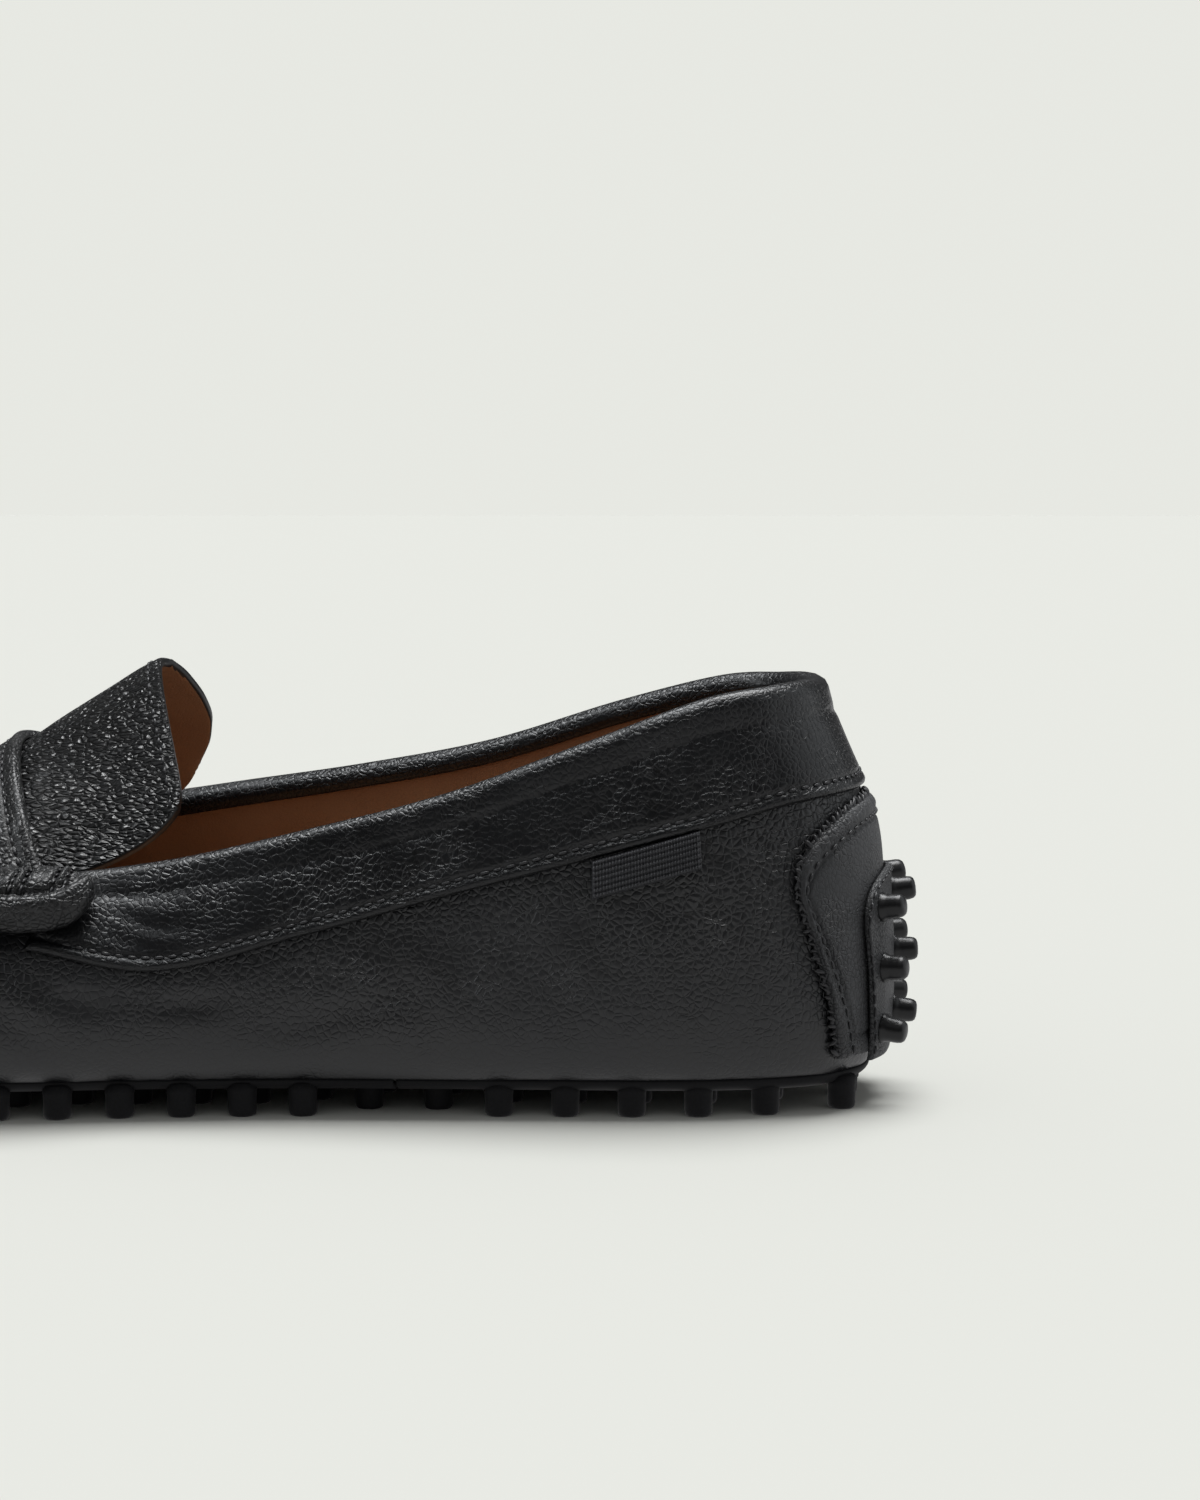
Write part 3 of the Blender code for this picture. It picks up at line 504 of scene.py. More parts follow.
studRubber = plainMaterial("studRubber", {
    "fleckScale": 1800.0, "dark": (0.006, 0.006, 0.0066), "light": (0.02, 0.02, 0.0215),
    "roughness": 0.62, "bump": 0.35, "specular": 0.14,
})
backRubber = plainMaterial("backRubber", {
    "fleckScale": 1800.0, "dark": (0.004, 0.004, 0.0045), "light": (0.008, 0.008, 0.009),
    "roughness": 0.34, "bump": 0.25, "specular": 0.45,
})
blackThread = plainMaterial("blackThread", {
    "fleckScale": 5200.0, "dark": (0.003, 0.003, 0.0034), "light": (0.045, 0.045, 0.049),
    "roughness": 0.38, "bump": 0.8,
})
paintedEdge = plainMaterial("paintedEdge", {
    "fleckScale": 1500.0, "dark": (0.006, 0.006, 0.006), "light": (0.012, 0.012, 0.012),
    "roughness": 0.38, "bump": 0.3,
})
ribbonYarn = plainMaterial("ribbonYarn", {
    "fleckScale": 4200.0, "dark": (0.005, 0.005, 0.006), "light": (0.1, 0.101, 0.11),
    "roughness": 0.42, "bump": 1.0,
})


def placingTree():
    # repeated parts: one shape on each marked point, facing out of the surface
    tree = bpy.data.node_groups.new("placeOnPoints", "GeometryNodeTree")
    for name, kind in (("Geometry", "Geometry"), ("Shape", "Object"), ("Size", "Vector"),
                       ("Unevenness", "Float"), ("Seed", "Int"), ("Material", "Material")):
        tree.interface.new_socket(name=name, in_out="INPUT", socket_type="NodeSocket" + kind)
    tree.interface.new_socket(name="Geometry", in_out="OUTPUT", socket_type="NodeSocketGeometry")
    start = tree.nodes.new("NodeGroupInput").outputs

    def marked(name):
        settings = {"data_type": "FLOAT_VECTOR"}
        return newNode(tree, "GeometryNodeInputNamedAttribute", {"Name": name}, **settings).outputs["Attribute"]

    def turned(inputs, **settings):
        return newNode(tree, "FunctionNodeAlignRotationToVector", inputs, **settings).outputs["Rotation"]

    def fromOne(operation):
        return newNode(tree, "ShaderNodeMath", {0: 1.0, 1: start["Unevenness"]}, operation=operation).outputs[0]

    rotation = turned({"Vector": marked("facing")}, axis="Z")
    rotation = turned({"Rotation": rotation, "Vector": marked("heading")}, axis="X", pivot_axis="Z")
    shape = newNode(tree, "GeometryNodeObjectInfo", {"Object": start["Shape"]}, transform_space="ORIGINAL")
    chance = {2: fromOne("SUBTRACT"), 3: fromOne("ADD"), "Seed": start["Seed"]}
    chance = newNode(tree, "FunctionNodeRandomValue", chance, data_type="FLOAT").outputs[1]
    size = newNode(tree, "ShaderNodeVectorMath", {0: start["Size"], "Scale": chance}, operation="SCALE")
    put = newNode(tree, "GeometryNodeInstanceOnPoints", {
        "Points": start["Geometry"], "Instance": shape.outputs["Geometry"], "Rotation": rotation,
        "Scale": size.outputs[0]})
    real = newNode(tree, "GeometryNodeRealizeInstances", {"Geometry": put.outputs["Instances"]})
    paint = newNode(tree, "GeometryNodeSetMaterial", {
        "Geometry": real.outputs["Geometry"], "Material": start["Material"]})
    newNode(tree, "NodeGroupOutput", {"Geometry": paint.outputs["Geometry"]})
    return tree


placing = placingTree()


def placeShapes(name, points, facing, heading, shape, size, material, unevenness=0.0, seed=1):
    mesh = bpy.data.meshes.new(name + "Points")
    mesh.from_pydata(rowPoints(points).tolist(), [], [])
    for label, vectors in (("facing", facing), ("heading", heading)):
        data = mesh.attributes.new(label, "FLOAT_VECTOR", "POINT")
        data.data.foreach_set("vector", np.asarray(vectors, np.float32).reshape(-1))
    carrier = addObject(name + "Points", mesh)
    modifier = carrier.modifiers.new("place", "NODES")
    modifier.node_group = placing
    values = {"Shape": shape, "Size": size, "Unevenness": unevenness, "Seed": seed, "Material": material}
    for item in placing.interface.items_tree:
        if item.item_type == "SOCKET" and item.in_out == "INPUT" and item.name in values:
            modifier[item.identifier] = values[item.name]
    done = evaluated(carrier)
    done.name = name
    carrier.modifiers.remove(modifier)
    bpy.data.objects.remove(carrier, do_unlink=True)
    if not done.materials:
        done.materials.append(material)
    done.shade_smooth()
    return addObject(name, done)


def closedForm(name, rings, flip=False):
    # rings of points joined by faces, with both ends closed; it isn't in the scene
    count, sides = len(rings), len(rings[0])
    first, last = list(range(sides)), list(range((count - 1) * sides, count * sides))
    faces = []
    for i in range(count - 1):
        for k in range(sides):
            a, b = i * sides + k, i * sides + (k + 1) % sides
            faces.append((a, a + sides, b + sides, b) if flip else (a, b, b + sides, a + sides))
    faces += [first, last[::-1]] if flip else [first[::-1], last]
    mesh = bpy.data.meshes.new(name)
    mesh.from_pydata([point for ring in rings for point in ring], [], faces)
    mesh.shade_smooth()
    return bpy.data.objects.new(name, mesh)


def circle(sides):
    return [(math.cos(2 * math.pi * k / sides), math.sin(2 * math.pi * k / sides)) for k in range(sides)]


def turnedShape(name, profile, sides):
    # a turned form about Z from (radius, height) pairs, in units of 1
    return closedForm(name, [[(r * c, r * s, z) for c, s in circle(sides)] for r, z in profile])


def stitchShape():
    # one stitch: a fat thread that dips at both ends, 1 long, 1 wide, 1 high
    rings = []
    for t in np.linspace(-0.5, 0.5, 7):
        r = 0.5 * math.sqrt(max(0.0, 1 - (2 * abs(t)) ** 3.2)) + 0.04
        z = 0.28 * math.cos(math.pi * t) - 0.02
        rings.append([(t, r * c, z + r * s) for c, s in circle(8)])
    return closedForm("stitchShape", rings, flip=True)


stitch = stitchShape()
stitchBase = {"lift": 0.0, "uneven": 0.08, "stray": 0.0, "slant": 0.0}
fineStitch = {"pitch": 2.3, "length": 1.75, "width": 0.52, "height": 0.5, "seed": 5, "lift": 0.05}


def stitchRun(name, path, facings, spec, slot):
    # stitches at one pitch along a line; slant turns them from it and stray makes that uneven
    s = {**stitchBase, **spec}
    path, facings = np.asarray(path, float), np.asarray(facings, float)
    along = arcLength(path)
    count = max(2, int(along[-1] / s["pitch"]))
    at = (np.arange(count) + 0.5) * along[-1] / count
    points = valueAt(at, along, path)
    heading = valueAt(at + 0.3, along, path) - valueAt(at - 0.3, along, path)
    heading /= np.maximum(np.linalg.norm(heading, axis=-1, keepdims=True), 1e-9)
    facing = valueAt(at, along, facings)
    facing /= np.linalg.norm(facing, axis=-1, keepdims=True)
    if s["slant"]:
        rng = np.random.default_rng(s["seed"])
        lean = (s["slant"] + rng.normal(size=count) * s["stray"])[:, None]
        across = np.cross(facing, heading)
        points = points + across * rng.normal(size=(count, 1)) * s["stray"] * 0.5
        heading = heading * np.cos(lean) + across * np.sin(lean)
    points = points + facing * s["lift"]
    size = (s["length"] * mm, s["width"] * mm, s["height"] * mm)
    obj = placeShapes(name, points, facing, heading, stitch, size, blackThread, s["uneven"], s["seed"])
    dress(obj, slot)


print("shapes and materials ready")

# wrap: quarters, bottom and toe walls in one hide
wrapSpec = {"around": 300, "tuckRows": 20, "wallRows": 37, "softness": 0.14, "fade": 0.12, "highest": 0.12}
# troughs pulled from the roll, sag over the arch and the small folds above the heel patch
wrapCreases = [
    ((150, 29), (141, 22), (128, 17), 2.2, 0.55, 1),
    ((158, 28), (151, 19), (141, 12), 2.0, 0.45, 1),
    ((138, 24), (124, 20), (106, 21), 2.6, 0.5, 1),
    ((118, 15), (98, 17), (80, 22), 3.0, 0.45, 1),
    ((64, 34), (57, 24), (54, 12), 2.6, 0.3, 1),
    ((38, 42), (33, 30), (32, 16), 2.8, 0.28, 1),
    ((88, 30), (80, 20), (76, 11), 2.4, 0.28, 1),
    ((168, 33), (166, 24), (160, 14), 2.4, 0.4, 1),
    ((185, 35), (188, 26), (188, 15), 3.0, 0.4, 1),
    ((204, 35), (210, 26), (208, 16), 3.2, 0.35, 1),
    ((150, 34), (142, 26), (128, 20), 2.4, 0.5, -1),
    ((120, 20), (98, 22), (76, 26), 3.4, 0.5, -1),
    ((62, 38), (56, 26), (54, 13), 2.8, 0.3, -1),
    ((190, 36), (194, 26), (192, 14), 3.0, 0.4, -1),
]
half = wrapSpec["around"] // 2
stations = np.linspace(0, stationCount, wrapSpec["around"] + 1)[None, :]
tuckTurns = np.linspace(0, turnShare, wrapSpec["tuckRows"])[:-1]
turns = np.concatenate([tuckTurns, np.linspace(turnShare, 1, wrapSpec["wallRows"])])[:, None]
outerWall = wrapPoint(stations, turns)
innerWall = wrapOffset(stations, turns, np.full((1, 1), -wall))
# the relief fades out at the rim, where other pieces sit, and under the tread
fade = np.clip((1 - turns) / wrapSpec["fade"], 0, 1) * np.clip(turns / wrapSpec["fade"], 0, 1)
relief = creaseHeight(outerWall, wrapCreases) + wrapSpec["softness"] * wobble(outerWall, 26, 4)
relief = np.minimum(relief + 0.06 * wobble(outerWall, 7, 8), wrapSpec["highest"]) * fade
outerWall = outerWall + wrapNormal(stations, turns) * relief[..., None]


def floorGrid(edge, columns):
    outerEdge, innerEdge = edge[: half + 1], edge[half:][::-1]
    t = np.linspace(0, 1, columns)[None, :, None]
    return outerEdge[:, None, :] * (1 - t) + innerEdge[:, None, :] * t


shape = Shape()
for paint, side in enumerate((outerWall, innerWall)):
    shape.grid(side, paint)
    shape.grid(floorGrid(side[0], 10), paint)
shape.grid(np.stack([outerWall[-1], innerWall[-1]]), 2)
dress(shape.make("wrap", [wrapHide, tanHide, paintedEdge]), "wrap_leather", "upper")
print("wrap done")

# sock inside
sockSpec = {"thickness": 2.2, "columns": 12, "drawnIn": 0.004}
sockLow, sockHigh = (
    wrapOffset(stations[0], 0.0, np.full(1, -wall - fit - up)) for up in (0.0, sockSpec["thickness"]))
sockMiddle = np.array([sockHigh[:, 0].mean(), 0])
sockHigh[:, :2] += (sockMiddle - sockHigh[:, :2]) * sockSpec["drawnIn"]
shape = Shape()
shape.grid(floorGrid(sockLow, sockSpec["columns"]))
shape.grid(floorGrid(sockHigh, sockSpec["columns"]))
shape.grid(np.stack([sockLow, sockHigh]))
dress(shape.make("sock", [tanHide]), "sock_leather", "insole")

# collar band: folded hem at its lower edge, a full roll over the topline, and a turn-in
bandSpec = {
    "ends": 7.9, "tuckBack": 0.12, "turnIn": 2.0, "thickness": 1.05, "heelDrop": 4.5, "around": 420,
    "wallRows": 34, "rimRows": 9, "inRows": 14, "stitchIn": 2.35, "mostInside": 1.3,
}
bandCreases = [
    ((60, 46), (50, 53), (42, 61), 1.5, 0.35, 1),
    ((84, 40), (74, 46), (66, 53), 1.6, 0.32, 1),
    ((36, 54), (29, 60), (25, 67), 1.4, 0.3, 1),
    ((106, 33), (98, 38), (90, 46), 1.6, 0.3, 1),
    ((133, 36), (126, 33), (117, 33), 1.3, 0.4, 1),
    ((134, 33), (126, 29.5), (116, 29), 1.2, 0.38, 1),
    ((135, 38.5), (128, 38), (119, 39.5), 1.2, 0.35, 1),
    ((64, 50), (54, 56), (45, 66), 1.7, 0.35, -1),
    ((96, 42), (86, 48), (76, 56), 1.7, 0.32, -1),
    ((136, 40), (126, 38), (114, 40), 1.4, 0.4, -1),
]
shares = np.linspace(-1, 1, bandSpec["around"])
low = shares * bandSpec["ends"]
top = shares * (bandSpec["ends"] - bandSpec["tuckBack"])
bandRows = []
for k in spread(bandSpec["wallRows"], 0.35):
    st = low + (top - low) * k
    hemZ = sectionAt(st)[:, 9] - bandSpec["heelDrop"] * np.exp(-np.abs(st / 2.3) ** 2.4)
    lowTurn = turnAtHeight(st, hemZ)
    bandRows.append(wrapOffset(st, lowTurn + (1 - lowTurn) * k, np.full(1, fit)))
rim = wrapPoint(top, 1.0)
rimNormal = wrapNormal(top, 1.0)
rimUp = rim - wrapPoint(top, 0.97)
rimUp /= np.linalg.norm(rimUp, axis=-1, keepdims=True)
for k in np.linspace(0, math.pi, bandSpec["rimRows"]):
    bandRows.append(rim - rimNormal * (1 - math.cos(k)) * 0.5 * wall + rimUp * (fit + 0.35 * math.sin(k)))
dropTurn = turnAtHeight(top, sectionAt(top)[:, 7] - bandSpec["turnIn"])
for k in spread(bandSpec["inRows"], 0.3)[1:]:
    bandRows.append(wrapOffset(top, 1 + (dropTurn - 1) * k, np.full(1, -wall - fit)))
bandUnder = np.array(bandRows).transpose(1, 0, 2)
bandNormals = gridNormals(bandUnder)
if np.dot(bandNormals[bandSpec["around"] // 2, 6], wrapNormal(0.0, 0.8)) < 0:
    bandNormals = -bandNormals
bandArc = arcLength(bandUnder, axis=1)
fromRim = bandArc - bandArc[:, bandSpec["wallRows"] - 1 : bandSpec["wallRows"]]
# thickness, hem, stitch groove, the roll over the topline and the groove under it
bandLift = bandSpec["thickness"] + 0.14 * bell(bandArc, 1.0, 1.0)
bandLift = bandLift - 0.42 * bell(bandArc, bandSpec["stitchIn"], 0.42)
bandLift = bandLift + 0.5 * bell(fromRim, 0.5, 3.0) - 0.22 * bell(fromRim, -4.6, 0.9)
onOuter = np.clip((-fromRim - 1.0) / 2.0, 0, 1) * np.clip((bandArc - 2.6) / 1.5, 0, 1)
folds = 0.55 * creaseHeight(bandUnder, bandCreases) + 0.08 * wobble(bandUnder, 19, 12)
bandLift = bandLift + onOuter * folds
bandLift = np.where(fromRim > 2, np.minimum(bandLift, bandSpec["mostInside"]), bandLift)
band, bandOver = softSheet("collarBand", bandUnder, bandNormals, bandLift, 0.9, [bandHide, paintedEdge])
dress(band, "band_leather", "collar_band")
line = [valueAt(bandSpec["stitchIn"], *pair) for pair in zip(bandArc[6:-6], bandOver[6:-6])]
face = [valueAt(bandSpec["stitchIn"], *pair) for pair in zip(bandArc[6:-6], bandNormals[6:-6])]
stitchRun("bandStitches", line, face, fineStitch, "band_leather")
print("collar band done")


# apron and tongue in one sheet, tan inside
tongueSpec = {
    "columns": 121, "fineRows": 5, "rows": 162, "jointGap": 2.2, "thickness": 1.8, "softness": 0.07,
    "liningIn": 0.7, "stitchIn": 2.6, "strapAt": 6.6,
}
tongueCreases = [
    ((148, 66), (143, 58), (141, 50), 1.6, 0.12, 0),
    ((141, 70), (137, 62), (136, 54), 1.5, 0.1, 0),
    ((188, 48), (190, 45), (194, 42), 3.0, 0.4, 0),
    ((202, 46), (206, 44), (208, 41), 3.2, 0.4, 0),
]


def smoothRows(rows, at):
    last = len(rows) - 1
    at = np.clip(np.asarray(at, float), 0, last - 1e-6)
    base = np.floor(at).astype(int)
    t = (at - base)[:, None, None]
    return curveThrough(*(rows[np.clip(base + k, 0, last)] for k in (-1, 0, 1, 2)), t)


def archRow(outerEdge, ridge, innerEdge, power, columns):
    share = np.linspace(-1, 1, columns)
    bow = np.sin(np.abs(share) * math.pi / 2)[:, None]
    edge = np.where((share < 0)[:, None], innerEdge, outerEdge)
    return ridge + (edge - ridge) * np.concatenate([bow**1.6, bow, bow**power], axis=1)


def rimJoint(station):
    direction = wrapPoint(station, 1.0) - wrapPoint(station, 0.97)
    gap = tongueSpec["jointGap"] * fit
    return wrapPoint(station, 1.0) + direction / np.linalg.norm(direction) * gap


def apronSurface(columns):
    rows = []
    for x, z, *edges in tongueRows:
        rows.append(archRow(np.array(edges[:3]), np.array([x, 0.0, z]), np.array(edges[3:]), 1.85, columns))
    for k, (x, z, station) in enumerate(apronRows):
        outerEdge, innerEdge = rimJoint(station), rimJoint(stationCount - station)
        ridge = np.array([x, 0.5 * (outerEdge[1] + innerEdge[1]), z])
        if k == len(apronRows) - 1:
            ridge = outerEdge
        rows.append(archRow(outerEdge, ridge, innerEdge, 1.95 + 0.25 * min(k, 4) / 4, columns))
    return np.array(rows)


apronColumns = tongueSpec["columns"]
ridgeColumn = apronColumns // 2
apronBase = apronSurface(apronColumns)
fineAt = np.linspace(0, 0.12, tongueSpec["fineRows"])[:-1]
apronAt = np.concatenate([fineAt, np.linspace(0.12, len(apronBase) - 1, tongueSpec["rows"])])
apronTop = smoothRows(apronBase, apronAt)
apronTop[-1] = apronTop[-1, ridgeColumn]


def smoothLine(values):
    values[1:-1] = 0.5 * values[1:-1] + 0.25 * (values[:-2] + values[2:])


def roundEar(grid, rows, columns, passes):
    # softens the tongue's free corner, edge points along the edge and the rest with their neighbours
    patch = grid[:rows, :columns]
    for _ in range(passes):
        edge = np.concatenate([patch[0, ::-1], patch[1:, 0]])
        smoothLine(edge)
        beside = patch[1:-1, :-2] + patch[1:-1, 2:]
        patch[1:-1, 1:-1] = 0.25 * (patch[:-2, 1:-1] + patch[2:, 1:-1] + beside)
        patch[0] = edge[:columns][::-1]
        patch[1:, 0] = edge[columns:]


roundEar(apronTop, 60, 56, 800)
roundEar(apronTop[:, ::-1], 46, 44, 260)
# how far the inner ear stands out, by the height below the tongue's top
earSpec = {
    "drop": (0.0, 1.6, 6.6, 10.9, 15.2, 18.7, 20.9, 23.5), "out": (0.0, 2.4, 3.9, 4.0, 2.2, -0.5, -1.6, 0.0),
    "rows": 4.0, "passes": 10,
}
earDrop = apronTop[0, ridgeColumn, 2] - apronTop[0, :, 2]
earOut = np.interp(earDrop, earSpec["drop"], earSpec["out"]) * (np.arange(apronColumns) < ridgeColumn)
for _ in range(earSpec["passes"]):
    smoothLine(earOut)
earReach = np.clip(1 - apronAt / earSpec["rows"], 0, 1) ** 2
apronTop[..., 0] -= earOut[None, :] * earReach[:, None]
apronNormals = gridNormals(apronTop, (0, 0, 1))
apronNormals[-1] = apronNormals[-2, ridgeColumn]
sideFade = np.clip((ridgeColumn - np.abs(np.arange(apronColumns) - ridgeColumn)) / 8, 0, 1)
edgeFade = np.clip((15.6 - apronAt) / 2.0, 0, 1)[:, None] * sideFade
apronLift = 0.5 * creaseHeight(apronTop, tongueCreases) + tongueSpec["softness"] * wobble(apronTop, 22, 21)
strapZone = np.clip(1 - np.abs(apronAt - tongueSpec["strapAt"]) / 2.2, 0, 1)[:, None]
apronLift = np.minimum(apronLift * edgeFade, 0.1) * (1 - 0.8 * strapZone)
apronOver = apronTop + apronNormals * apronLift[..., None]
rear = np.linalg.norm(apronTop - apronTop[:1], axis=-1)
rearEdge = np.sqrt(np.clip(1 - (1 - np.clip(rear / 0.9, 0, 1)) ** 2, 0, 1))
apronUnder = apronOver - apronNormals * (tongueSpec["thickness"] * (0.35 + 0.65 * rearEdge))[..., None]
apronOver = apronOver - apronNormals * (0.5 * (1 - rearEdge))[..., None]
shape = Shape()
shape.grid(apronOver)
shape.grid(apronUnder, np.where(rear[:-1, :-1] < tongueSpec["liningIn"], 2, 1))
for edge in (np.s_[0, :], np.s_[:, 0], np.s_[:, -1]):
    shape.grid(np.stack([apronUnder[edge], apronOver[edge]]), 2)
dress(shape.make("tongue", [vampHide, tanHide, paintedEdge]), "vamp_leather", "apron_tongue")

# a row of stitches follows the tongue's free edge
line, face = [], []
for j in range(4, apronColumns - 4):
    arc = arcLength(apronOver[:, j])
    line.append(valueAt(tongueSpec["stitchIn"], arc, apronOver[:, j]))
    face.append(valueAt(tongueSpec["stitchIn"], arc, apronNormals[:, j]))
tongueStitch = {**fineStitch, "pitch": 2.2, "length": 1.6, "seed": 8, "lift": -0.08}
stitchRun("tongueStitches", line, face, tongueStitch, "vamp_leather")
print("tongue done")

# raised hand-sewn seam round the toe
seamSpec = {
    "radius": 1.9, "from": 9.25, "to": 20.75, "steps": 340, "sides": 12, "pucker": 0.16, "puckerSteps": 6.2,
    "lift": 0.4, "flat": 0.8, "threadOut": 1.75,
}
seamStations = np.linspace(seamSpec["from"], seamSpec["to"], seamSpec["steps"])
seamMiddle = wrapPoint(seamStations, 1.0)
seamUp = seamMiddle - wrapPoint(seamStations, 0.96)
seamUp /= np.linalg.norm(seamUp, axis=-1, keepdims=True)
seamOut = wrapNormal(seamStations, 1.0)
puckers = seamSpec["pucker"] * np.sin(np.arange(seamSpec["steps"]) * 2 * math.pi / seamSpec["puckerSteps"])
seamRings = []
for k in range(seamSpec["sides"] + 1):
    a = 2 * math.pi * k / seamSpec["sides"]
    r = seamSpec["radius"] * (1 + puckers * (0.5 + 0.5 * math.cos(a)))
    across = seamUp * math.sin(a) * seamSpec["flat"] + seamOut * math.cos(a)
    seamRings.append(seamMiddle + seamUp * seamSpec["lift"] + across * r[:, None])
seamRings = np.array(seamRings)
shape = Shape()
shape.grid(seamRings)
for end in (0, -1):
    shape.cap(seamRings[:, end])
dress(shape.make("toeSeam", [vampHide]), "vamp_leather", "toe_seam")
seamStitch = {"pitch": 5.0, "length": 4.2, "width": 0.95, "height": 0.8, "seed": 11, "slant": 1.2}
stitchRun("toeSeamStitches", seamMiddle + seamOut * seamSpec["threadOut"], seamOut, seamStitch, "vamp_leather")

# saddle strap with its slot
strapSpec = {
    "rear": 5.35, "rearBow": 0.8, "front": 7.95, "steps": 72, "tail": (0.97, 0.8), "tailSteps": 12,
    "rearStation": 7.72, "thickness": 1.6, "stitchIn": 2.9, "slotX": 165.5, "slotLength": 4.0,
    "slotBow": 4.0, "slotHalfWidth": 16.5, "slotSides": 64, "slotCut": (20.0, 100.0),
}
acrossShare = np.abs(np.linspace(-1, 1, apronColumns))
strapRear = (strapSpec["rear"] - strapSpec["rearBow"] * acrossShare**1.7)[None, :]
strapAt = strapRear + (strapSpec["front"] - strapRear) * spread(strapSpec["steps"], 0.5)[:, None]
strapArch = np.concatenate(
    [smoothRows(apronBase[:, j : j + 1], strapAt[:, j]) for j in range(apronColumns)], axis=1)
strapArch = strapArch + gridNormals(strapArch, (0, 0, 1)) * fit
rowStations = [strapSpec["rearStation"]] + [row[2] for row in apronRows[:4]]
rimStations = np.interp(strapAt[:, 0], np.arange(4, 9), rowStations)
tail = np.linspace(*strapSpec["tail"], strapSpec["tailSteps"])
outerTail = wrapOffset(rimStations[:, None], tail[None, :], np.full((1, 1), fit))
innerTail = wrapOffset(-rimStations[:, None], tail[None, ::-1], np.full((1, 1), fit))
strapUnder = np.concatenate([innerTail, strapArch, outerTail], axis=1)
strapNormals = gridNormals(strapUnder, (0, 0, 1))
strapArc = arcLength(strapUnder[:, strapSpec["steps"]])
fromEdge = np.minimum(strapArc, strapArc[-1] - strapArc)[:, None]
strapEdge = 0.35 * bell(fromEdge, 1.1, 1.0) - 0.28 * bell(fromEdge, strapSpec["stitchIn"], 0.5)
strapLift = strapSpec["thickness"] + strapEdge + 0.08 * wobble(strapUnder, 14, 31)
strap, strapOver = softSheet(
    "strap", strapUnder, strapNormals, strapLift, 0.8, [rollHide, paintedEdge], sidePaint=1)
# a crescent, longer at its middle than at its ends
slot = []
for c, s in circle(strapSpec["slotSides"]):
    slotX = strapSpec["slotX"] + strapSpec["slotLength"] * s - strapSpec["slotBow"] * c**2
    slot.append((slotX, strapSpec["slotHalfWidth"] * c))
slotRings = [rowPoints([(x, y, z) for x, y in slot]).tolist() for z in strapSpec["slotCut"]]
slotCutter = closedForm("slotCutter", slotRings)
bpy.context.scene.collection.objects.link(slotCutter)
cutWith(strap, slotCutter, "DIFFERENCE")
dress(strap, "vamp_leather", "saddle_strap")
inner = range(16, strapUnder.shape[1] - 16)
for k, name in enumerate(("strapRearStitches", "strapFrontStitches")):
    edgeIn = strapArc[-1] - strapSpec["stitchIn"] if k else strapSpec["stitchIn"]
    line = [valueAt(edgeIn, strapArc, strapOver[:, j]) for j in inner]
    face = [valueAt(edgeIn, strapArc, strapNormals[:, j]) for j in inner]
    stitchRun(name, line, face, {**fineStitch, "seed": 20 + k}, "vamp_leather")
print("strap done")

# beef rolls: a bound tube, with the fold it is rolled from wrapped under it and round its ends
rollSpec = {
    "halfHeight": 6.4, "halfDepth": 4.0, "halfLength": 17.5, "rings": 240, "sides": 72,
    "ties": (-0.66, -0.24, 0.22, 0.66), "tieRings": 7, "tieFrom": 19, "tiePoints": 39,
    "station": 8.15, "reach": 0.70, "belowRim": 4.8,
    # drawn in a little, so that it presses into the strap
    "pressed": 0.3,
}
tieStitch = {"pitch": 1.6, "length": 1.9, "width": 0.45, "height": 0.45}


def rollLift(s, a):
    # the line where the tube meets its fold is gap mm away, negative on the tube
    pinch = 0.0
    for tie in rollSpec["ties"]:
        pinch += bell(s, tie + 0.06, 0.03) + bell(s, tie - 0.06, 0.03) - 0.3 * bell(s, tie, 0.04)
    fromTop = math.atan2(math.sin(a), math.cos(a)) * 5.4
    gap = ((abs(s * rollSpec["halfLength"] / 14.4) ** 4 + abs(fromTop / 9.4) ** 4) ** 0.25 - 1) * 9
    return 0.5 * bell(gap, 1.6, 1.2) - 1.3 * bell(gap, 0, 0.6) - 0.9 * pinch / (1 + math.exp(gap * 2.5))


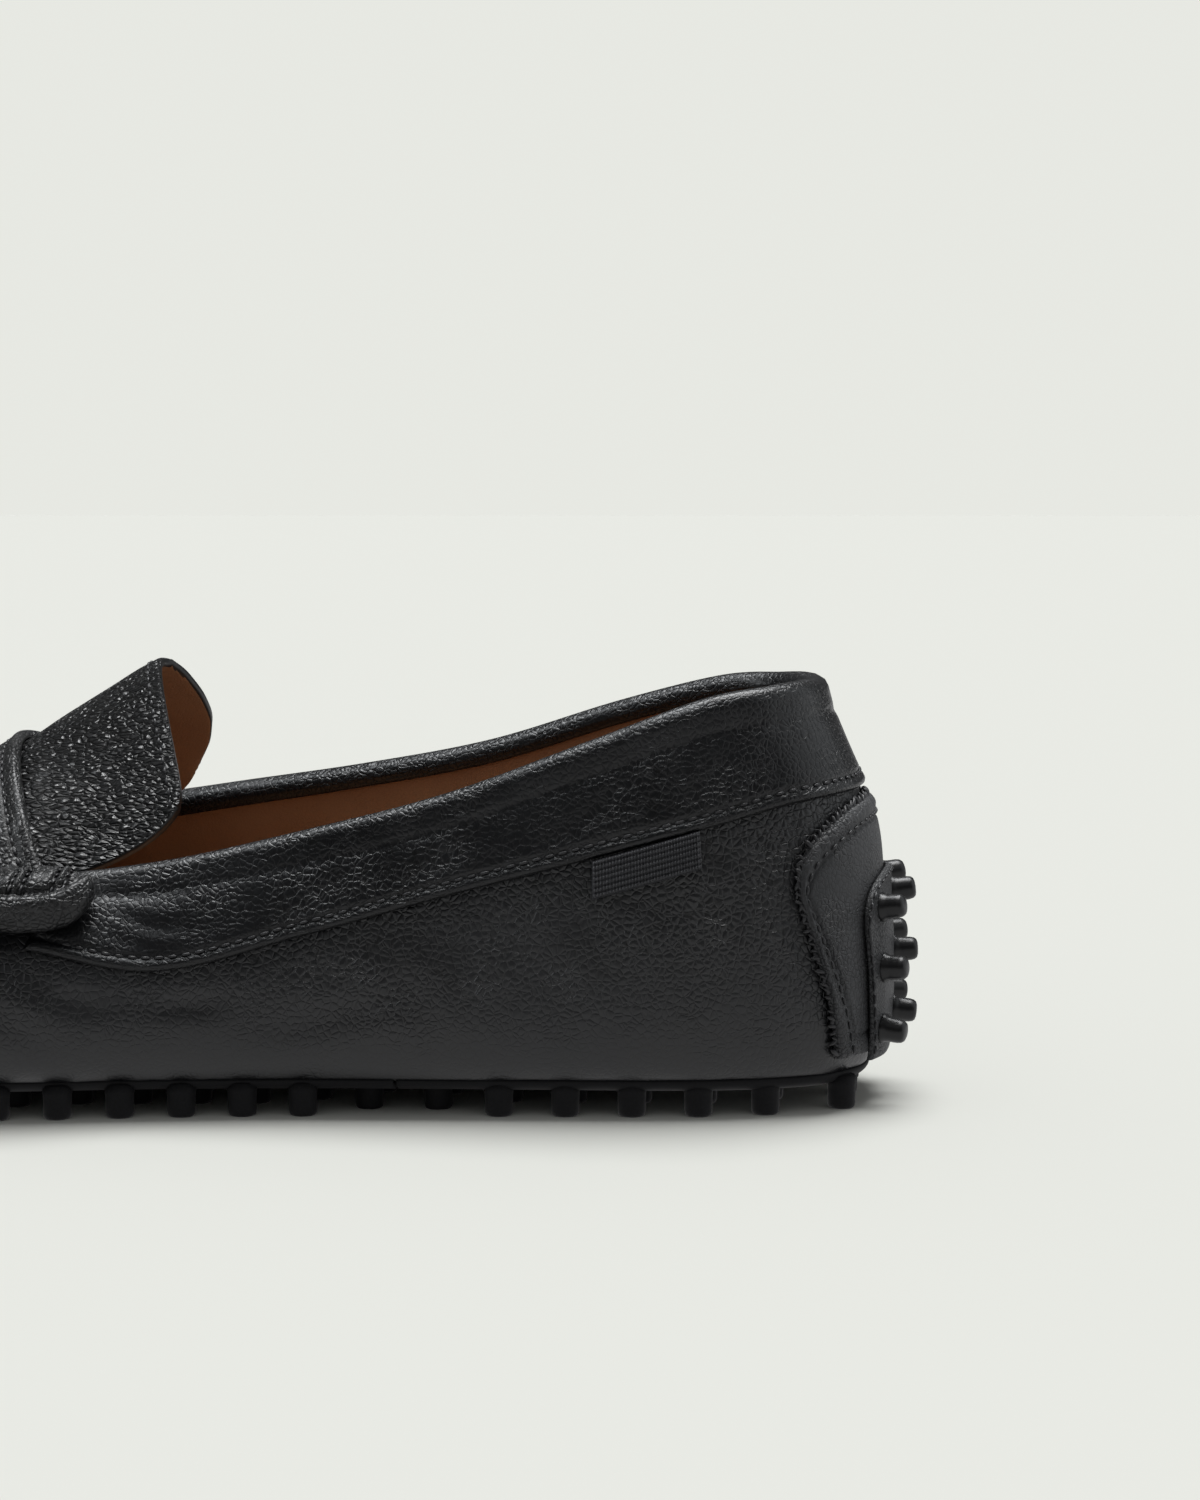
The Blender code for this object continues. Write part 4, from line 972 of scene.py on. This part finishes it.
def beefRoll(name, side, node):
    rings = []
    clearance = 2 * fit + rollSpec["halfDepth"] + rollSpec["pressed"]
    for s in np.linspace(-1, 1, rollSpec["rings"]):
        station = side * (rollSpec["station"] + rollSpec["reach"] * s)
        turn = turnAtHeight(station, sectionAt(station)[7] - rollSpec["belowRim"])
        centre = wrapOffset(station, turn, clearance)
        outward = wrapNormal(station, turn)
        up = wrapPoint(station, turn + 0.02) - wrapPoint(station, turn - 0.02)
        up /= np.linalg.norm(up)
        size = max(0.02, 1 - abs(s) ** 5) ** 0.5
        ring = []
        for k in range(rollSpec["sides"] + 1):
            a = 2 * math.pi * k / rollSpec["sides"]
            reach = up * rollSpec["halfHeight"] * math.cos(a) + outward * rollSpec["halfDepth"] * math.sin(a)
            ring.append(centre + reach * size * (1 + rollLift(s, a) / 5.2))
        rings.append(ring)
    rings = np.array(rings)
    rings += gridNormals(rings) * (0.12 * wobble(rings, 5, 40))[..., None]
    rings[:, -1] = rings[:, 0]
    shape = Shape()
    shape.grid(rings)
    for end in (0, -1):
        shape.cap(rings[end])
    dress(shape.make(name, [rollHide]), "vamp_leather", node)
    for number, tie in enumerate(rollSpec["ties"]):
        for letter, shift in (("a", -rollSpec["tieRings"]), ("b", rollSpec["tieRings"])):
            i = int(round((tie + 1) / 2 * (rollSpec["rings"] - 1))) + shift
            line = np.roll(rings[i, :-1], rollSpec["tieFrom"], axis=0)[: rollSpec["tiePoints"]]
            face = line - rings[i, :-1].mean(axis=0)
            bound = {**tieStitch, "seed": 50 + number}
            stitchRun(f"{name}Tie{number}{letter}", line, face, bound, "vamp_leather")


beefRoll("rollOuter", 1, "beef_roll_outer")
beefRoll("rollInner", -1, "beef_roll_inner")
print("rolls done")

# heel counter and studded patch: half widths in stations by the share climbed, and the top's height
# at the sides and at the middle
heelSpec = {
    "counter": {"half": ((0.0, 0.2, 0.4, 0.6, 0.8, 1.0), (1.75, 1.83, 1.92, 2.02, 2.12, 2.2)),
                "top": (38.0, 54.0), "low": 9.8, "out": fit, "columns": 130, "rows": 90},
    "patch": {"half": ((0.0, 1.0), (1.14, 1.3)),
              "top": (32.0, 41.2), "low": 9.0, "out": 2 * fit + 1.2, "columns": 80, "rows": 60},
    "rounding": 9.0, "counterStitchIn": 3.9, "whipIn": 0.25, "patchStitchIn": 1.1, "studOut": 2 * fit + 2.4,
    "studAcross": 11.0, "studShift": -0.5, "stationLength": 12.3,
    "studLow": 14.0, "studUp": 10.4, "studLean": 1.6,
}


def heelSheet(s):
    # the top is flat at the back and turns down into the side edges
    a = 2 * spread(s["columns"], 0.8) - 1
    climb = spread(s["rows"], 0.4)
    share = np.linspace(0, 1, 201)
    tops = s["top"][0] + (s["top"][1] - s["top"][0]) * (1 - share**2.6) ** (1 / 2.6)
    tops = np.interp(np.abs(a), share, tops)
    st = np.interp(climb, *s["half"])[:, None] * a[None, :]
    turn = turnAtHeight(st, s["low"] + climb[:, None] * (tops[None, :] - s["low"]))
    return wrapOffset(st, turn, np.full((1, 1), s["out"])), wrapNormal(st, turn)


def borderLine(grid, normals, inset):
    # up one side, over the top and down the other, inset from the edge
    arcA, arcB = arcLength(grid), arcLength(grid, axis=1)
    rows, columns = grid.shape[:2]
    places = []
    for i in range(rows):
        if arcA[-1, 0] - arcA[i, 0] > inset and arcA[i, 0] > 0.6:
            places.append((inset, arcB[i], np.s_[i, :]))
    for j in range(columns):
        if inset < arcB[-1, j] < arcB[-1, -1] - inset:
            places.append((arcA[-1, j] - inset, arcA[:, j], np.s_[:, j]))
    for i in reversed(range(rows)):
        if arcA[-1, -1] - arcA[i, -1] > inset and arcA[i, -1] > 0.6:
            places.append((arcB[i, -1] - inset, arcB[i], np.s_[i, :]))
    return tuple([valueAt(at, arc, field[cut]) for at, arc, cut in places] for field in (grid, normals))


counterUnder, counterNormals = heelSheet(heelSpec["counter"])
inFromEdge = edgeRounding(counterUnder, heelSpec["rounding"])
edgeGap = heelSpec["rounding"] * (1 - np.sqrt(1 - inFromEdge**2))
seamGroove = 0.35 * bell(edgeGap, 1.6, 1.1) - 0.4 * bell(edgeGap, heelSpec["counterStitchIn"], 0.45)
gathers = 0.12 * wobble(counterUnder, 2.4, 62) * bell(edgeGap, 1.2, 1.6)
counterLift = 1.1 + seamGroove + gathers + 0.08 * wobble(counterUnder, 16, 61)
counter, counterOver = softSheet("counter", counterUnder, counterNormals, counterLift, 0.8, [heelHide])
dress(counter, "wrap_leather", "heel_counter")
border = borderLine(counterOver, counterNormals, heelSpec["counterStitchIn"])
stitchRun("counterStitches", *border, {**fineStitch, "seed": 31}, "wrap_leather")
whip = {"pitch": 1.25, "length": 2.5, "width": 0.66, "height": 0.7, "uneven": 0.25, "stray": 0.32}
border = borderLine(counterOver, counterNormals, heelSpec["whipIn"])
whipOver = {**whip, "seed": 33, "lift": -0.1, "slant": 0.95}
whipBack = {**whip, "pitch": 1.9, "seed": 34, "lift": -0.25, "slant": -0.35}
stitchRun("counterWhipOver", *border, whipOver, "wrap_leather")
stitchRun("counterWhipBack", *border, whipBack, "wrap_leather")

patchUnder, patchNormals = heelSheet(heelSpec["patch"])
patchLift = 0.95 + 0.05 * wobble(patchUnder, 10, 71)
patch, patchOver = softSheet("heelPatch", patchUnder, patchNormals, patchLift, 0.8, [heelHide])
dress(patch, "wrap_leather", "heel_patch")
border = borderLine(patchOver, patchNormals, heelSpec["patchStitchIn"])
stitchRun("patchStitches", *border, {**fineStitch, "seed": 35}, "wrap_leather")

backStud = turnedShape("backStud", [
    (1.25, -0.3), (1.25, 0.0), (1.1, 0.12), (1.03, 0.35), (1.0, 0.8), (0.93, 1.0), (0.78, 1.12), (0.5, 1.18),
    (0.0001, 1.2)], 24)
spots, faces = [], []
for number in (1, 0, -1):
    for row in range(3):
        station = (heelSpec["studAcross"] * number + heelSpec["studShift"]) / heelSpec["stationLength"]
        height = heelSpec["studLow"] + row * heelSpec["studUp"] + (1 - number) * heelSpec["studLean"]
        turn = turnAtHeight(station, height)
        faces.append(wrapNormal(station, turn))
        spots.append(wrapPoint(station, turn) + faces[-1] * heelSpec["studOut"])
heads = [(0, 0, 1)] * len(spots)
backStudSize = (2.1 * mm, 2.1 * mm, 3.35 * mm)
dress(placeShapes("backStuds", spots, faces, heads, backStud, backStudSize, backRubber), "stud_rubber")
print("heel done")

# ribbed ribbon tab under the band
tabSpec = {
    "from": 3.14, "to": 4.0, "drop": 6.6, "under": 0.42, "ribs": 7, "ribHeight": 0.5, "weave": 0.16,
    "threads": 36, "columns": 216, "rows": 64, "thickness": 0.8,
}
tabShare = np.linspace(0, 1, tabSpec["columns"])[:, None]
tabStations = tabSpec["from"] + (tabSpec["to"] - tabSpec["from"]) * tabShare
tabClimb = spread(tabSpec["rows"], 0.2)[None, :]
tabHeights = sectionAt(tabStations)[..., 9] - tabSpec["under"] - tabSpec["drop"] * (1 - tabClimb)
tabTurns = turnAtHeight(tabStations, tabHeights)
tabUnder = wrapOffset(tabStations, tabTurns, np.full((1, 1), fit))
ribs = tabSpec["ribHeight"] * np.abs(np.sin(math.pi * tabSpec["ribs"] * tabClimb)) ** 0.7
weave = tabSpec["weave"] * np.sin(2 * math.pi * tabSpec["threads"] * tabShare)
tabLift = tabSpec["thickness"] + ribs + weave
tab = softSheet("ribbonTab", tabUnder, wrapNormal(tabStations, tabTurns), tabLift, 0.5, [ribbonYarn])[0]
dress(tab, "ribbon", "ribbon_tab")

# sole pads and studs: the pads end at x, and each span of studs has its first and last x and its pitch
soleSpec = {
    "padTurn": turnShare * 0.22, "padRows": 9, "padColumns": 14, "thickness": 1.2, "thinned": 0.15,
    "pads": {"heelPad": (-50, 84.3, "outsole_heel"), "forePad": (84.9, 400, "outsole_forefoot")},
    "inset": 6.5, "across": 13.3, "shortShare": 0.78, "studTop": 4.5, "upWithTread": 0.4,
}
padTurns = np.linspace(0, soleSpec["padTurn"], soleSpec["padRows"])[:, None]


def padBowl(distance):
    # the hide thins to nothing at the pad's edge
    thin = np.clip(1 - padTurns / soleSpec["padTurn"], 0, 1) ** 0.5
    edge = wrapOffset(stations, padTurns, (distance + soleSpec["thinned"]) * thin - soleSpec["thinned"])
    return edge, floorGrid(edge[0], soleSpec["padColumns"])


def spanBox(lowX, highX):
    corners = [(x, y, z) for x in (lowX, highX) for y in (-200, 200) for z in (-200, 200)]
    sides = [(0, 1, 3, 2), (4, 6, 7, 5), (0, 4, 5, 1), (2, 3, 7, 6), (0, 2, 6, 4), (1, 5, 7, 3)]
    mesh = bpy.data.meshes.new("span")
    mesh.from_pydata(rowPoints(corners).tolist(), [], sides)
    return addObject("span", mesh)


for name, (lowX, highX, node) in soleSpec["pads"].items():
    shape = Shape()
    edges = []
    for distance in (fit, fit + soleSpec["thickness"]):
        wallPart, floorPart = padBowl(distance)
        shape.grid(wallPart)
        shape.grid(floorPart)
        edges.append(wallPart[-1])
    shape.grid(np.stack(edges))
    # the pads take the dark stud rubber: partly the sole's own dark colour, partly painted shade along the
    # shoe's lower edge
    pad = shape.make(name, [studRubber])
    cutWith(pad, spanBox(lowX, highX), "INTERSECT")
    dress(pad, "stud_rubber", node)


def treadEdges(x):
    outer, inner = sectionAt(np.linspace(0, 15, 151)), sectionAt(np.linspace(30, 15, 151))
    return [np.interp(x, table[:, 0], table[:, c]) for c in (1, 4) for table in (outer, inner)]


def studSpots(first, last, pitch, shortFirst, shortLast):
    # rows across the tread; the row at a pad's rounded end is shorter
    count = int(round((last - first) / pitch)) + 1
    spots = []
    for number, x in enumerate(np.linspace(first, last, count)):
        wideOuter, wideInner, treadOuter, treadInner = treadEdges(x)
        short = (shortFirst and number == 0) or (shortLast and number == count - 1)
        share = soleSpec["shortShare"] if short else 1.0
        high, lowY = (wideOuter - soleSpec["inset"]) * share, (wideInner + soleSpec["inset"]) * share
        for y in np.linspace(lowY, high, max(2, int(round((high - lowY) / soleSpec["across"])) + 1)):
            rise = treadInner + (treadOuter - treadInner) * (y - lowY) / (high - lowY) - 6.0
            spots.append((x, y, max(0.0, rise - soleSpec["upWithTread"]) + soleSpec["studTop"]))
    return spots


soleStud = turnedShape("soleStud", [
    (0.96, -0.3), (1.04, 0.0), (1.0, 0.08), (0.985, 0.3), (0.975, 0.8), (0.945, 0.91), (0.86, 0.975),
    (0.72, 1.0), (0.0001, 1.0)], 28)
studRows = {
    "heelStuds": studSpots(9.5, 78.4, 11.7, False, True),
    "foreStuds": studSpots(90.5, 90.5 + 17 * 10.5 * 0.93, 10.5, True, False),
}
for name, spots in studRows.items():
    down, ahead = ([way] * len(spots) for way in ((0, 0, -1), (1, 0, 0)))
    studSize = (2.5 * mm, 2.5 * mm, soleSpec["studTop"] * mm)
    dress(placeShapes(name, spots, down, ahead, soleStud, studSize, studRubber), "stud_rubber")
for spare in (stitch, backStud, soleStud):
    bpy.data.objects.remove(spare, do_unlink=True)
print("sole done")

# pale floor, soft lights and the camera
# the floor's gloss glow and its shade ellipse are a painted reflection and a painted shadow
stageSpec = {
    "pale": (0.80, 0.81, 0.765), "floor": (0.68, 0.69, 0.652), "bounced": (0.2, 0.2, 0.2), "ambient": 0.32,
    "ahead": 0.055, "overhead": 0.16, "paintedReflection": 0.62, "shade": (0.142, 0.047),
    "boxColour": (0.93, 0.97, 1.0), "sun": 2.82, "sunSpread": 38, "sunWay": (0.10, 0.20, -1.0),
}
mesh = bpy.data.meshes.new("floor")
mesh.from_pydata([(-30, -60, 0), (30, -60, 0), (30, 30, 0), (-30, 30, 0)], [], [(0, 1, 2, 3)])
floorMaterial, tree, floorShader, place = newMaterial("paleFloor", stageSpec["floor"])
path = tree.nodes.new("ShaderNodeLightPath").outputs
setInputs(tree, floorShader, {
    "Base Color": blend(tree, path["Is Diffuse Ray"], stageSpec["floor"], stageSpec["bounced"]),
    "Roughness": 1.0, "Specular IOR Level": 0.0,
})
# seen in the gloss, the floor glows as a painted reflection, bright round the shoe, with a painted shadow dark
# under it
shadeX, shadeY = stageSpec["shade"]
ellipse = newNode(tree, "ShaderNodeMapping", {"Vector": place, "Scale": (1 / shadeX, 1 / shadeY, 1.0)})
away = newNode(tree, "ShaderNodeVectorMath", {0: ellipse.outputs["Vector"]}, operation="LENGTH")
away = away.outputs["Value"]
paintedReflectionStrength = ranged(tree, away, 0.62, 0.88, 0.05, stageSpec["paintedReflection"], interpolation_type="SMOOTHSTEP")
# painted reflection: an emission, no lamp, that only glossy rays see
paintedReflection = newNode(tree, "ShaderNodeEmission", {"Strength": paintedReflectionStrength})
byRay = newNode(tree, "ShaderNodeMixShader", {
    0: path["Is Glossy Ray"], 1: floorShader.outputs[0], 2: paintedReflection.outputs[0]})
setInputs(tree, tree.nodes["Material Output"], {"Surface": byRay.outputs[0]})
mesh.materials.append(floorMaterial)
floor = addObject("floor", mesh)

# the boxes light the shoe alone, the sun and the sky light the floor as well
shoeLit = bpy.data.collections.new("shoeLit")
for obj in bpy.context.scene.objects:
    if obj.type == "MESH" and obj is not floor:
        shoeLit.objects.link(obj)
bandLit = bpy.data.collections.new("bandLit")
bandLit.objects.link(band)
# name, place, what it aims at, size, power and what it lights
boxes = [
    ("rimBox", (0.05, 0.02, 0.72), (-0.02, 0.0, 0.06), (0.9, 0.10), 2.2, bandLit),
    ("topBox", (0.05, -0.12, 0.70), (-0.03, 0.0, 0.05), (1.1, 0.16), 2.7, shoeLit),
    ("leftBox", (0.62, 0.22, 0.45), (0.03, 0.0, 0.05), (0.25, 0.4), 0.9, shoeLit),
    ("frontBox", (-0.10, 0.75, 0.80), (-0.08, 0.0, 0.04), (0.5, 0.25), 0.12, shoeLit),
    ("rightBox", (-0.75, -0.10, 0.30), (-0.12, 0.0, 0.04), (0.9, 0.7), 1.25, shoeLit),
]


def turnTo(obj, way):
    obj.rotation_euler = Vector(way).to_track_quat("-Z", "Y").to_euler()


for name, at, aim, size, power, lit in boxes:
    data = bpy.data.lights.new(name, "AREA")
    data.shape = "RECTANGLE"
    data.size, data.size_y = size
    data.energy = power
    data.color = stageSpec["boxColour"]
    lamp = addObject(name, data)
    lamp.location = at
    turnTo(lamp, Vector(aim) - Vector(at))
    lamp.light_linking.receiver_collection = lit
sunData = bpy.data.lights.new("softSun", "SUN")
sunData.energy = stageSpec["sun"]
sunData.angle = math.radians(stageSpec["sunSpread"])
sunData.specular_factor = 0.0
turnTo(addObject("softSun", sunData), stageSpec["sunWay"])

world = bpy.data.worlds.new("studio")
world.use_nodes = True
tree = world.node_tree
path = tree.nodes.new("ShaderNodeLightPath").outputs
sky = tree.nodes.new("ShaderNodeTexCoord").outputs["Generated"]
up = newNode(tree, "ShaderNodeSeparateXYZ", {0: sky}).outputs["Z"]
rising = ranged(tree, up, 0.1, 0.95, stageSpec["ahead"], stageSpec["overhead"])
byGloss = blend(tree, path["Is Glossy Ray"], (stageSpec["ambient"],) * 3, rising)
byCamera = blend(tree, path["Is Camera Ray"], byGloss, stageSpec["pale"])
setInputs(tree, tree.nodes["Background"], {"Color": byCamera})
bpy.context.scene.world = world
bpy.context.scene.view_settings.view_transform = "Standard"

cameraSpec = {"lens": 74.6, "film": 36.0, "at": (-6.3, 556.3, 104.8), "turn": 6.0, "fall": 240 / 3108}
cameraData = bpy.data.cameras.new("camera")
cameraData.lens = cameraSpec["lens"]
cameraData.sensor_width = cameraSpec["film"]
camera = addObject("camera", cameraData)
camera.location = (np.array(cameraSpec["at"]) - shoeMiddle) * mm
turn, pitch = math.radians(cameraSpec["turn"]), math.atan(cameraSpec["fall"])
turnTo(camera, (math.sin(turn) * math.cos(pitch), -math.cos(turn) * math.cos(pitch), -math.sin(pitch)))
bpy.context.scene.camera = camera
